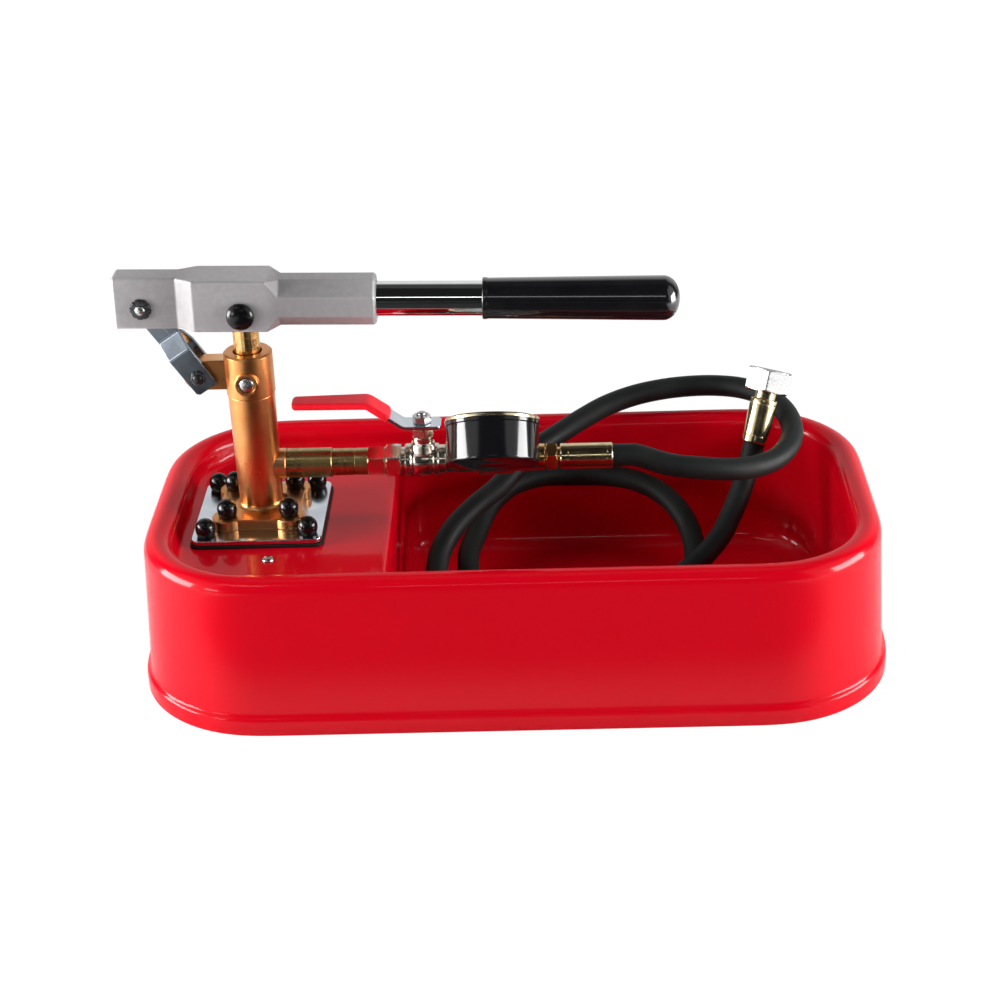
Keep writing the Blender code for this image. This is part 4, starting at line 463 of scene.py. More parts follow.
# Hose: one length, from the ferrule at the tee to the tail ferrule
hoseSettings = {
    "diameter": 0.0125,
    "sides": 32,
    "step": 0.004,
    "weave": 0.0011,          # from one slanting thread to the next
    "route": [
        (0.0566, 0.0000, 0.1070), (0.0680, 0.0000, 0.1070), (0.0878, -0.0030, 0.1018),
        (0.1061, -0.0040, 0.0996), (0.1210, -0.0019, 0.0974), (0.1338, 0.0034, 0.0957),
        (0.1447, 0.0116, 0.0949), (0.1531, 0.0222, 0.0953), (0.1585, 0.0345, 0.0965), (0.1606, 0.0477, 0.0984),
        (0.1592, 0.0609, 0.1005), (0.1543, 0.0734, 0.1023), (0.1463, 0.0843, 0.1035), (0.1356, 0.0929, 0.1037),
        (0.1229, 0.0986, 0.1030), (0.1079, 0.1012, 0.1021), (0.0901, 0.0995, 0.1013), (0.0720, 0.0942, 0.0999),
        (0.0554, 0.0852, 0.0978), (0.0410, 0.0740, 0.0948), (0.0279, 0.0624, 0.0916), (0.0152, 0.0510, 0.0882),
        (0.0036, 0.0390, 0.0829), (-0.0079, 0.0268, 0.0754), (-0.0218, 0.0158, 0.0687),
        (-0.0338, 0.0030, 0.0614), (-0.0407, -0.0115, 0.0542), (-0.0420, -0.0267, 0.0467),
        (-0.0379, -0.0411, 0.0387), (-0.0289, -0.0532, 0.0307), (-0.0155, -0.0616, 0.0232),
        (0.0012, -0.0654, 0.0169), (0.0210, -0.0643, 0.0136), (0.0412, -0.0587, 0.0130),
        (0.0593, -0.0510, 0.0129), (0.0735, -0.0406, 0.0130), (0.0842, -0.0271, 0.0144),
        (0.0931, -0.0103, 0.0174), (0.1005, 0.0074, 0.0219), (0.1042, 0.0243, 0.0290), (0.1026, 0.0397, 0.0375),
        (0.0957, 0.0535, 0.0456), (0.0848, 0.0650, 0.0516), (0.0707, 0.0733, 0.0548), (0.0532, 0.0782, 0.0557),
        (0.0341, 0.0788, 0.0559), (0.0171, 0.0751, 0.0577), (0.0033, 0.0679, 0.0577), (-0.0079, 0.0578, 0.0554),
        (-0.0161, 0.0453, 0.0508), (-0.0215, 0.0296, 0.0444), (-0.0256, 0.0127, 0.0410),
        (-0.0253, -0.0042, 0.0378), (-0.0207, -0.0193, 0.0334), (-0.0128, -0.0313, 0.0283),
        (-0.0019, -0.0401, 0.0232), (0.0111, -0.0453, 0.0185), (0.0254, -0.0467, 0.0149),
        (0.0400, -0.0443, 0.0133), (0.0537, -0.0386, 0.0140), (0.0661, -0.0305, 0.0179),
        (0.0786, -0.0209, 0.0265), (0.0926, -0.0116, 0.0354), (0.1066, -0.0014, 0.0426),
        (0.1168, 0.0100, 0.0486), (0.1231, 0.0193, 0.0555), (0.1285, 0.0272, 0.0641), (0.1331, 0.0341, 0.0741),
        (0.1367, 0.0393, 0.0843), (0.1386, 0.0422, 0.0916)],
}


def hosePath(route, step):
    # a smooth curve through the route, in even steps
    points, dense = [Vector(p) for p in route], []
    for before, start, end, after in zip(points, points[1:], points[2:], points[3:]):
        for t in (k / 12 for k in range(12)):
            bend = 2 * before - 5 * start + 4 * end - after
            twist = 3 * start - before - 3 * end + after
            dense.append(start + ((end - before) * t + bend * t ** 2 + twist * t ** 3) / 2)
    dense.append(points[-2])
    lengths = [0]
    for here, there in zip(dense, dense[1:]):
        lengths.append(lengths[-1] + (there - here).length)
    count = round(lengths[-1] / step)
    path, index = [points[0]], 0
    for number in range(count + 1):
        goal = lengths[-1] * number / count
        while index < len(dense) - 2 and lengths[index + 1] < goal:
            index += 1
        share = (goal - lengths[index]) / (lengths[index + 1] - lengths[index])
        path.append(dense[index].lerp(dense[index + 1], share))
    return path + [points[-1]]


def makeHoseTree(material):
    # a round skin along the curve, with the way along it and round it kept for the finish
    tree, given, out = newTree("hoseAlongPath", "Geometry",
        [("Geometry", "Geometry"), ("Diameter", "Float"), ("Sides", "Int")],
        [("Geometry", "Geometry")])

    def capture(label, geometry, measure):
        node = addNode(tree, "GeometryNodeCaptureAttribute")
        node.capture_items.new("FLOAT", label)
        value = addNode(tree, "GeometryNodeSplineParameter").outputs[measure]
        return feed(tree, node, {"Geometry": geometry, label: value}).outputs

    along = capture("Along", given["Geometry"], "Length")
    profile = addNode(tree, "GeometryNodeCurvePrimitiveCircle",
        {"Radius": calc(tree, "MULTIPLY", given["Diameter"], 0.5), "Resolution": given["Sides"]})
    around = capture("Around", profile, "Factor")
    mesh = addNode(tree, "GeometryNodeCurveToMesh", {"Curve": along["Geometry"], "Profile Curve": around["Geometry"],
            "Fill Caps": True})
    for name, value in (("alongHose", along["Along"]), ("aroundHose", around["Around"])):
        mesh = addNode(tree, "GeometryNodeStoreNamedAttribute", {"Geometry": mesh, "Name": name, "Value": value},
            data_type="FLOAT", domain="POINT")
    return endTree(tree, out, mesh, material)


def hoseMaterial(s):
    # matt rubber with the fine slanting print of the cloth that it was cured in
    material, tree, shader = newMaterial("matt hose rubber")
    along, around = [addNode(tree, "Attribute", attribute_name=name).outputs["Fac"]
        for name in ("alongHose", "aroundHose")]
    turns = calc(tree, "MULTIPLY_ADD", along, 1 / s["weave"], around)
    weave = calc(tree, "SINE", calc(tree, "MULTIPLY", turns, 2 * pi))
    grain = addGrain(tree, 1400, 35, objectSpace(tree))
    height = calc(tree, "MULTIPLY_ADD", weave, 0.16, grain["Height"])
    feed(tree, shader, {
            "Normal": addNode(tree, "Bump", {"Strength": 0.35, "Distance": 0.00025, "Height": height}),
            "Base Color": ramp(tree, grain["Mottle"], (0.0050, 0.0062, 0.0060), (0.0095, 0.0112, 0.0108)),
            "Roughness": ramp(tree, grain["Mottle"], 0.50, 0.64), "Specular IOR Level": 0.22})
    material.diffuse_color = (0.012, 0.013, 0.013, 1)
    return material


def makeHose(s):
    path = hosePath(s["route"], s["step"])
    curve = bpy.data.curves.new("hose_line", "CURVE")
    curve.dimensions = "3D"
    addSpline(curve, [(*p, 1) for p in path])
    hose = runTree(newObject("rubber_hose", curve), makeHoseTree(hoseMaterial(s)),
        {"Diameter": s["diameter"], "Sides": s["sides"]})
    hose.data.shade_smooth()
    return hose, path


hosePiece, hoseLine = makeHose(hoseSettings)


# Floor, world and lamps
studioSettings = {
    "floorSize": 12,
    "floorTone": 0.86,
    "floorGlow": (0.88, 1.0),        # near the object and further out
    "floorReach": (0.25, 0.70),
    "glowStrength": 1.04,
    # a dark card on the floor in front, which only gloss sees: it gives metal its dark bands
    "darkCard": {"level": 0.008, "share": 0.975, "halfWidth": (0.23, 0.36), "start": (-0.13, -0.20),
        "end": (-4.0, -7.0)},
    "worldLight": 0.10,
    # what gloss sees of the world: how bright, and where its sides, back and ceiling start and end
    "gloss": {"front": 0.012, "sides": 0.85, "back": 0.80, "top": 0.05, "sideFront": (-0.82, -0.66),
        "sideBack": (0.35, 0.10), "sideTop": (0.92, 0.70), "backSides": (0.45, 0.80), "backTop": (0.88, 0.62)},
    "lamps": [
        # name, place, aim, width, height, watts, seen in gloss
        ("leftPanel", (-1.18, -0.21, 0.27), (0, -0.03, 0.08), 0.72, 0.52, 26.5, True),
        ("rightPanel", (1.18, -0.21, 0.27), (0, -0.03, 0.08), 0.72, 0.52, 24, True),
        ("topFill", (0.0, 0.25, 1.7), (0, 0, 0), 1.4, 0.7, 9, False),
        ("edgeStrip", (-0.62, -0.75, 1.45), (-0.15, 0, 0.2), 0.6, 0.14, 1.2, True),
        ("strapCard", (-1.13, -1.13, 0.35), (-0.18, 0, 0.18), 0.34, 0.30, 2.4, True),
        ("frontStrip", (0.05, -1.35, 0.95), (0, 0, 0.1), 0.5, 0.05, 0.45, True),
    ],
}


def makeWorld(s):
    # plain light for rough surfaces; gloss sees bright sides and back, and a dark front and ceiling
    world = bpy.data.worlds.new("studio")
    bpy.context.scene.world = world
    world.use_nodes = True
    tree, gloss, strength = world.node_tree, s["gloss"], s["worldLight"]
    x, y, z = addNode(tree, "SeparateXYZ", {0: addNode(tree, "TexCoord").outputs["Generated"]}).outputs
    level = calc(tree, "SQRT", calc(tree, "ADD", calc(tree, "MULTIPLY", x, x), calc(tree, "MULTIPLY", y, y)))
    away = calc(tree, "DIVIDE", y, calc(tree, "MAXIMUM", level, 0.001))      # -1 in front, 0 at the sides, 1 behind
    sides = calc(tree, "MULTIPLY", band(tree, away, *gloss["sideFront"]), band(tree, away, *gloss["sideBack"]))
    sides = calc(tree, "MULTIPLY", sides, band(tree, z, *gloss["sideTop"], 0, gloss["sides"]))
    back = calc(tree, "MULTIPLY", band(tree, away, *gloss["backSides"]),
        band(tree, z, *gloss["backTop"], gloss["top"], gloss["back"]))
    lit = calc(tree, "MAXIMUM", calc(tree, "MAXIMUM", sides, back), gloss["front"])
    rays = addNode(tree, "LightPath").outputs
    mirrored = calc(tree, "MAXIMUM", rays["Is Glossy Ray"], rays["Is Transmission Ray"])
    for factor, bright in ((mirrored, lit), (rays["Is Camera Ray"], 1.0)):
        strength = addNode(tree, "Mix", {"Factor": factor, "A": strength, "B": bright}).outputs["Result"]
    feed(tree, tree.nodes["Background"], {"Color": (1, 1, 1, 1), "Strength": strength})


def makeFloor(s):
    corners = [(sx * s["floorSize"], sy * s["floorSize"], 0) for sx, sy in ((-1, -1), (1, -1), (1, 1), (-1, 1))]
    floor = meshObject("floor", corners, [(0, 1, 2, 3)], False)
    material, tree, shader = newMaterial("pale floor")
    feed(tree, shader, {"Base Color": (*[s["floorTone"]] * 3, 1), "Roughness": 0.9, "Specular IOR Level": 0.2})
    where, rays, card = objectSpace(tree), addNode(tree, "LightPath").outputs, s["darkCard"]
    reach = addNode(tree, "VectorMath", {0: where}, operation="LENGTH").outputs["Value"]
    share = calc(tree, "MULTIPLY", rays["Is Camera Ray"], band(tree, reach, *s["floorReach"], *s["floorGlow"]))
    x, y, _ = addNode(tree, "SeparateXYZ", {0: where}).outputs
    mask = rays["Is Glossy Ray"]
    for edge in (band(tree, calc(tree, "ABSOLUTE", x), *card["halfWidth"], card["share"], 0),
            band(tree, y, *card["start"]), band(tree, y, *card["end"], 1, 0)):
        mask = calc(tree, "MULTIPLY", mask, edge)
    surface = shader
    for factor, strength in ((share, s["glowStrength"]), (mask, card["level"])):
        glow = addNode(tree, "Emission", {"Strength": strength})
        surface = addNode(tree, "MixShader", {"Fac": factor, 1: surface, 2: glow})
    feed(tree, tree.nodes["Material Output"], {"Surface": surface})
    floor.data.materials.append(material)


def makeStudio(s):
    bpy.context.scene.view_settings.view_transform = "Standard"
    makeWorld(s)
    makeFloor(s)
    for name, place, aim, width, height, watts, inGloss in s["lamps"]:
        data = bpy.data.lights.new(name, "AREA")
        data.shape, data.size, data.size_y, data.energy = "RECTANGLE", width, height, watts
        lamp = newObject(name, data)
        lamp.location = place
        lamp.rotation_euler = (Vector(aim) - Vector(place)).to_track_quat("-Z", "Y").to_euler()
        lamp.visible_camera, lamp.visible_glossy = False, inGloss


makeStudio(studioSettings)
print("floor and lamps set")


# Tub: one pressed sheet. Foot lip, outer wall, rolled rim, platform at the left and deep part at the right
tubSettings = {
    "halfLength": 0.205,
    "halfWidth": 0.109,
    "corner": 0.0705,
    "rimTop": 0.0885,
    "rimRadius": 0.0079,
    "rimInset": 0.0142,        # from the foot's outline to the middle of the roll
    "wellInset": 0.023,
    "wellDraft": 0.002,
    "wellCorner": 0.020,
    "wellRows": (0.055, 0.036),
    "platformTop": 0.0735,
    "platformEdge": -0.0655,
    "ledgeStart": -0.0605,
    "edgeRound": 0.005,
    "platformFillet": 0.004,
    "floorTop": 0.006,
    "floorFillet": 0.012,
    "thickness": 0.0028,
    "outerRows": [(0.0, 0.0), (0.0, 0.003), (0.0, 0.0075), (0.0003, 0.0092), (0.0021, 0.0104), (0.0026, 0.0122),
        (0.0031, 0.020), (0.0041, 0.038), (0.0051, 0.057), (0.0060, 0.0735)],
}


def makeTubCage(s):
    verts, faces = [], []
    wide, long, corner = s["halfWidth"], s["halfLength"], s["corner"]
    cx, cy = long - corner, wide - corner
    wellY = wide - s["wellInset"]          # the deep part's wall and its left corner's centre
    turnX, turnY = s["platformEdge"] + s["wellCorner"], wellY - s["wellCorner"]

    def add(x, y, z):
        verts.append((x, y, z))
        return len(verts) - 1

    def spread(start, end, count):
        return [start + (end - start) * k / count for k in range(count + 1)]

    def bend(sx, sy, start):
        turns = [radians(start + 90 * k / 8) for k in range(1, 8)]
        return [(sx * cx + corner * cos(a), sy * cy + corner * sin(a), cos(a), sin(a)) for a in turns]

    # stations round the outline: a point, and the way outwards from it
    ledge = spread(s["ledgeStart"], -cx, 4)
    right = [(x, -wide, 0, -1) for x in spread(turnX, cx, 9)] + bend(1, -1, -90)
    right += [(long, y, 1, 0) for y in spread(-cy, cy, 4)] + bend(1, 1, 0)
    right += [(x, wide, 0, 1) for x in spread(cx, turnX, 9)]
    left = [(x, wide, 0, 1) for x in ledge] + bend(-1, 1, 90) + [(-long, y, -1, 0) for y in spread(cy, -cy, 4)]
    left += bend(-1, -1, 180) + [(x, -wide, 0, -1) for x in reversed(ledge)]

    def ring(inset, z, chosen=right + left):
        return [add(x - nx * inset, y - ny * inset, z) for x, y, nx, ny in chosen]

    def strip(lower, upper, closed=True):
        for k in range(len(lower) if closed else len(lower) - 1):
            n = (k + 1) % len(lower)
            faces.append((lower[k], lower[n], upper[n], upper[k]))

    def patch(grid):
        # inner points settle between the grid's fixed sides
        for _ in range(400):
            for i in range(1, len(grid) - 1):
                for j in range(1, len(grid[0]) - 1):
                    near = [verts[grid[i + a][j + b]] for a, b in ((1, 0), (-1, 0), (0, 1), (0, -1))]
                    verts[grid[i][j]] = tuple(sum(p[axis] for p in near) / 4 for axis in range(3))
        for near, far in zip(grid, grid[1:]):
            strip(far, near, False)

    rows = [ring(inset, z) for inset, z in s["outerRows"]]
    middle, radius = s["rimTop"] - s["rimRadius"], s["rimRadius"] * 1.015
    for angle in (pi * (1 - k / 9) for k in range(10)):
        rows.append(ring(s["rimInset"] + radius * cos(angle), middle + radius * sin(angle)))
    top, fillet = s["platformTop"], s["platformFillet"]
    rows.append(ring(s["wellInset"] - 0.0004, top + fillet))
    for lower, upper in zip(rows, rows[1:]):
        strip(lower, upper)

    # the fillet's middle goes all round; beside the deep part it is just a line on the wall
    wellCount, foot, roundOff = len(right), fillet * (1 - sqrt(0.5)), s["edgeRound"] * (1 - sqrt(0.5))
    seam = ring(s["wellInset"], top + foot, right)
    verts[seam[0]], verts[seam[-1]] = (turnX, -wellY, top - 0.0004), (turnX, wellY, top - 0.0004)
    seam += ring(s["wellInset"] + foot, top + foot, left)
    strip(rows[-1], seam)
    inner = ring(s["wellInset"] + fillet, top, left)
    across, along = 9, 12

    def edgePoint(j, drop, z, angles=(36.9, 54.6, 72.3)):
        # a point of the deep part's left edge, with three steps in each corner
        near, side = min(j, along - j), -1 if j < along / 2 else 1
        if near >= len(angles):
            return s["platformEdge"] + drop, -turnY + 2 * turnY * (j - 3) / (along - 6), z
        reach, angle = s["wellCorner"] - drop, radians(angles[near])
        return turnX - reach * sin(angle), side * (turnY + reach * cos(angle)), z

    # platform: a grid inside the fillet, whose last two columns are the rounded edge
    flatAngles = (50.2, 62.0, 76.0)
    for j, index in ((along, 0), (0, -1)):
        verts[inner[index]] = edgePoint(j, -s["edgeRound"], top, flatAngles)
    strip(seam[wellCount:], inner, closed=False)
    grid = [[None] * (along + 1) for _ in range(across + 1)]
    for k in range(9):
        grid[8 - k][along], grid[k][0] = inner[k], inner[20 + k]
    for k in range(13):
        grid[0][along - k] = inner[8 + k]
    for j in range(along + 1):
        grid[9][j] = add(*edgePoint(j, -roundOff, top - roundOff))
        if 0 < j < along:
            grid[8][j] = add(*edgePoint(j, -s["edgeRound"], top, flatAngles))
    for i in range(1, 8):
        for j in range(1, along):
            grid[i][j] = add(*Vector(verts[grid[0][j]]).lerp(Vector(verts[grid[8][j]]), i / 8))
    patch(grid[:9])
    strip(grid[9], grid[8], False)
    faces.append((seam[-1], seam[0], grid[9][0], inner[-1]))
    faces.append((seam[wellCount - 1], seam[wellCount], inner[0], grid[9][along]))

    # deep part: wall, fillet and floor
    low, fillet, draft = s["floorTop"], s["floorFillet"], s["wellDraft"]
    levels = [(draft * (top - z) / (top - low), z) for z in (top - s["edgeRound"], *s["wellRows"], low + fillet)]
    for angle in (pi * k / 8 for k in range(1, 5)):
        levels.append((draft + fillet * (1 - cos(angle)), low + fillet * (1 - sin(angle))))
    upper = seam[:wellCount] + grid[9][::-1]
    for drop, z in levels:
        made = ring(s["wellInset"] + drop, z, right) + [add(*edgePoint(j, drop, z)) for j in range(along, -1, -1)]
        strip(upper, made)
        upper = made
    columns, lines = 14, 12
    floor = [[None] * (lines + 1) for _ in range(columns + 1)]
    floor[0][0] = upper[51]
    for k in range(14):
        floor[k + 1][0], floor[14 - k][lines] = upper[k], upper[25 + k]
    for k in range(13):
        floor[14][k], floor[0][lines - k] = upper[13 + k], upper[39 + k]
    for i in range(1, columns):
        for j in range(1, lines):
            floor[i][j] = add(*Vector(verts[floor[i][0]]).lerp(Vector(verts[floor[i][lines]]), j / lines))
    patch(floor)
    return verts, faces


def makeTub(s, material):
    tub = meshObject("tub_shell", *makeTubCage(s))
    modify(tub, "SUBSURF", levels=2, render_levels=2)
    modify(tub, "SOLIDIFY", thickness=s["thickness"], offset=-1)
    dress(tub, material, "red_paint", "tank", sharp=50)


makeTub(tubSettings, finishMaterial("red paint", {
        "colors": ((0.56, 0.0008, 0.009), (0.575, 0.0009, 0.010)), "rough": (0.25, 0.265), "coat": 0.33,
        "coatRough": 0.07, "grain": 210, "mottle": 12, "bump": 0.030, "depth": 0.0004, "ior": 1.13}))
print("tub pressed")


# Sets of pieces on points
def makeSetTree():
    # one piece on every point, each turned a little by chance
    tree, given, out = newTree("piecesOnPoints", "Geometry",
        [("Geometry", "Geometry"), ("Piece", "Object"), ("Finish", "Material"),
            ("Turn", "Float"), ("Seed", "Int")], [("Geometry", "Geometry")])
    piece = addNode(tree, "GeometryNodeObjectInfo", {"Object": given["Piece"]}).outputs["Geometry"]
    chance = addNode(tree, "FunctionNodeRandomValue", {3: given["Turn"], "Seed": given["Seed"]}, data_type="FLOAT")
    turn = addNode(tree, "CombineXYZ", {"Z": chance.outputs[1]})
    placed = addNode(tree, "GeometryNodeInstanceOnPoints",
        {"Points": given["Geometry"], "Instance": piece, "Rotation": turn})
    return endTree(tree, out, placed, given["Finish"])


setTree = makeSetTree()


def pieceSet(name, piece, points, material, seed):
    made = runTree(meshObject(name, points, [], False), setTree,
        {"Piece": piece, "Finish": material, "Turn": 2 * pi, "Seed": seed})
    bpy.data.objects.remove(piece)
    return made


# Finishes
finishes = {
    "zinc": {"colors": ((0.58, 0.62, 0.68), (0.68, 0.72, 0.78)), "rough": (0.12, 0.24), "metal": 1.0,
        "grain": 1500, "mottle": 55, "bump": 0.05},
    "brass": {"colors": ((0.59, 0.235, 0.075), (0.73, 0.34, 0.125)), "rough": (0.26, 0.36), "metal": 1.0,
        "grain": 1100, "rings": 2600, "streaks": 60, "bump": 0.045, "worn": (0.92, 0.62, 0.34),
        "wear": (0.54, 0.64)},
    "cast": {"colors": ((0.275, 0.26, 0.265), (0.305, 0.29, 0.295)), "rough": (0.36, 0.42), "metal": 0.30,
        "grain": 1500, "mottle": 300, "bump": 0.12, "depth": 0.00014, "worn": (0.76, 0.75, 0.77),
        "wear": (0.51, 0.555)},
    "golden": {"colors": ((0.66, 0.39, 0.145), (0.80, 0.51, 0.22)), "rough": (0.16, 0.28), "metal": 1.0,
        "grain": 1400, "mottle": 70, "rings": 3200, "streaks": 220, "bump": 0.06},
    "olive": {"colors": ((0.34, 0.25, 0.10), (0.47, 0.35, 0.15)), "rough": (0.22, 0.36), "metal": 1.0,
        "grain": 1200, "rings": 2400, "streaks": 200, "bump": 0.08},
    "nickel": {"colors": ((0.58, 0.53, 0.44), (0.72, 0.67, 0.58)), "rough": (0.13, 0.24), "metal": 1.0,
        "grain": 1300, "mottle": 80, "rings": 3000, "streaks": 260, "bump": 0.08},
    "yellowZinc": {"colors": ((0.62, 0.50, 0.27), (0.78, 0.66, 0.40)), "rough": (0.13, 0.24), "metal": 1.0,
        "grain": 1300, "mottle": 110, "rings": 2600, "streaks": 240, "bump": 0.05},
    "steel": {"colors": ((0.50, 0.50, 0.50), (0.62, 0.62, 0.62)), "rough": (0.20, 0.32), "metal": 1.0,
        "grain": 1500, "mottle": 80, "rings": 3000, "streaks": 260, "bump": 0.06},
    "strap": {"colors": ((0.27, 0.31, 0.36), (0.38, 0.43, 0.49)), "rough": (0.14, 0.26), "metal": 1.0,
        "grain": 1500, "mottle": 90, "bump": 0.06, "worn": (0.75, 0.78, 0.82), "wear": (0.54, 0.62)},
    "drum": {"colors": ((0.004, 0.004, 0.005), (0.007, 0.007, 0.008)), "rough": (0.07, 0.12),
        "grain": 700, "mottle": 40, "bump": 0.012, "coat": 0.12, "coatRough": 0.03, "ior": 1.42},
    "chrome": {"colors": ((0.80, 0.82, 0.82), (0.86, 0.88, 0.88)), "rough": (0.035, 0.07), "metal": 1.0,
        "grain": 1600, "mottle": 40, "rings": 3400, "streaks": 120, "bump": 0.012},
    "paleGold": {"colors": ((0.72, 0.60, 0.38), (0.84, 0.73, 0.50)), "rough": (0.14, 0.24), "metal": 1.0,
        "grain": 1500, "rings": 2800, "streaks": 200, "bump": 0.05},
    "blackSteel": {"colors": ((0.018, 0.018, 0.020), (0.035, 0.035, 0.037)), "rough": (0.26, 0.42), "metal": 0.6,
        "grain": 1500, "mottle": 120, "bump": 0.12, "worn": (0.30, 0.30, 0.31), "wear": (0.56, 0.68)},
    "blackCap": {"colors": ((0.0022, 0.0022, 0.0027), (0.004, 0.004, 0.0046)), "rough": (0.16, 0.24),
        "mottle": 100, "bump": 0.04, "coat": 0.12, "ior": 1.36},
    "blackGloss": {"colors": ((0.004, 0.004, 0.005), (0.008, 0.008, 0.009)), "rough": (0.10, 0.18),
        "grain": 700, "mottle": 40, "bump": 0.04, "depth": 0.00015, "coat": 0.8, "coatRough": 0.04},
    "rubber": {"colors": ((0.005, 0.005, 0.005), (0.009, 0.009, 0.009)), "rough": (0.55, 0.70),
        "grain": 1200, "bump": 0.3, "depth": 0.0002, "ior": 1.35},
    "vinyl": {"colors": ((0.95, 0.010, 0.026), (0.97, 0.012, 0.030)), "rough": (0.30, 0.38),
        "grain": 800, "mottle": 45, "bump": 0.05, "depth": 0.0002, "ior": 1.26},
    "dial": {"colors": ((0.80, 0.80, 0.78), (0.84, 0.84, 0.82)), "rough": (0.42, 0.5),
        "grain": 1600, "mottle": 30, "bump": 0.03, "depth": 0.00005},
}


def finish(kind, label, turned=None):
    return finishMaterial(label, finishes[kind], turned)


def glassMaterial():
    material, tree, shader = newMaterial("gauge glass")
    grain = addGrain(tree, plainLook["grain"], 90, objectSpace(tree))
    feed(tree, shader, {"Base Color": (0.98, 1.0, 0.99, 1), "Transmission Weight": 1.0, "IOR": 1.45,
            "Roughness": ramp(tree, grain["Mottle"], 0.015, 0.05)})
    return material


def paintNode(node, material):
    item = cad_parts[node]
    item.data.materials.clear()
    item.data.materials.append(material)


def turnedPiece(name, profile, place, kind, label, slot, *nodes, steps=96, **how):
    return dress(lathe(name, profile, place, steps), finish(kind, label, place), slot, *nodes, **how)


def hexPiece(name, size, bore, place, turn, kind, label, slot, node, **how):
    nut = hexShape(name, *size, bore, place, radians(turn))
    return dress(nut, finish(kind, label, place), slot, node, sharp=24, **how)


# Foot of the pump: gasket, plate, capped bolts and a small screw in front
pumpX, lineHeight = -0.139, 0.107
pumpPlace = move(pumpX, 0, 0)
plateSettings = {"half": 0.03575, "corner": 0.005, "bottom": 0.0753, "top": 0.0780, "edge": 0.0005,
    "gasketOverhang": 0.0008, "gasketBottom": 0.0735, "gasketEdge": 0.0003}
boltSettings = {"plateReach": 0.028, "flangeReach": 0.017, "plateTop": 0.0780, "flangeTop": 0.0840,
    "radius": 0.0055, "height": 0.0100, "mouthRadius": 0.0047, "capBottom": 0.0001,
    "shankRadius": 0.0027, "shankEnd": 0.0635, "nutFlats": 0.008, "nutTop": 0.0704, "nutHeight": 0.0036}
screwSettings = {"place": (-0.1309, -0.0502, 0.0735), "turn": 35, "size": (0.0033, 0.0022, (0.0008, 0.0009))}


def lineAt(x):
    return move(x, 0, lineHeight) @ alongX


def makeFoot(plate, bolt, screw):
    def sheet(name, half, low, high, edge):
        return outlineSolid(name, softBox(half, half, plate["corner"], 8), low, high, pumpPlace, edge)

    dress(sheet("plate_sheet", plate["half"], plate["bottom"], plate["top"], plate["edge"]),
        finish("zinc", "zinc"), "zinc", "mounting_plate")
    dress(sheet("gasket_sheet", plate["half"] + plate["gasketOverhang"], plate["gasketBottom"],
            plate["bottom"] - 0.0001, plate["gasketEdge"]), finish("rubber", "rubber"), "black_rubber", "base_gasket")

    # an egg-shaped rubber cap
    radius, low, rise = bolt["radius"], bolt["capBottom"], bolt["height"] * 0.42
    profile = [(0, bolt["height"])] + dome(radius, rise, bolt["height"] - rise, range(10, 91, 10))
    profile += [(radius - (radius - bolt["mouthRadius"]) * t ** 2, rise * (1 - t) + low)
        for t in (k / 6 for k in range(1, 7))]
    cap = lathe("cap_shape", profile + [(0, low)], Matrix(), 40)
    spots = [[(pumpX + sx * reach, sy * reach, z) for sx in (-1, 1) for sy in (-1, 1)]
        for reach, z in ((bolt["plateReach"], bolt["plateTop"]), (bolt["flangeReach"], bolt["flangeTop"]))]
    black = finish("blackCap", "black cap")
    dress(pieceSet("bolt_caps", cap, spots[0] + spots[1], black, 3), black, "black_plastic",
        *[f"{kind}_bolt_{k}" for kind in ("plate", "flange") for k in (1, 2, 3, 4)], weighted=False)
    radius, low, top, nutTop = bolt["shankRadius"], bolt["shankEnd"], bolt["nutTop"] + 0.002, bolt["nutTop"]
    shank = lathe("shank", [(0, top), (radius, top), (radius, low, 0.0005), (0, low)], Matrix(), 32)
    nut = hexShape("nut", bolt["nutFlats"], nutTop - bolt["nutHeight"], nutTop, radius * 0.9, Matrix())
    zinc = finish("zinc", "bolt zinc")
    dress(pieceSet("bolt_ends", joinItems("bolt_end", [shank, nut]), [(x, y, 0) for x, y, _ in spots[0]], zinc, 5),
        zinc, "zinc", sharp=25)
    dress(slottedScrew("platform_screw_head", *screw["size"], move(*screw["place"]) @ rotate(screw["turn"])),
        finish("zinc", "screw zinc"), "zinc", "platform_screw")


makeFoot(plateSettings, boltSettings, screwSettings)
print("plate and bolts set")


# Pump: lobed flange, flared cylinder with its outlet boss, and the head with its lug and screw
pumpSettings = {"flangeHalf": 0.023, "lobe": 0.0085, "boltReach": 0.017, "flangeBottom": 0.0779, "flangeTop": 0.0840,
    "baseRadius": 0.0120, "topRadius": 0.0127, "top": 0.1507, "fillet": 0.0035, "neck": 0.0110,
    "bossRadius": 0.0084, "bossEnd": 0.0160}
headSettings = {"radius": 0.0132, "bottom": 0.1510, "top": 0.1750, "chamfer": 0.0010, "rodHole": 0.0078,
    "lugHalf": 0.00525, "lugRadius": 0.0085, "pinX": -0.0267, "pinZ": 0.1630, "bossRadius": 0.0064,
    "bossHeight": 0.1606, "bossReach": 0.0148, "bossStart": 0.0095, "recessRadius": 0.0046,
    "recess": 0.0015, "screwTurn": 62, "screw": (0.0040, 0.0020, (0.0010, 0.0010))}


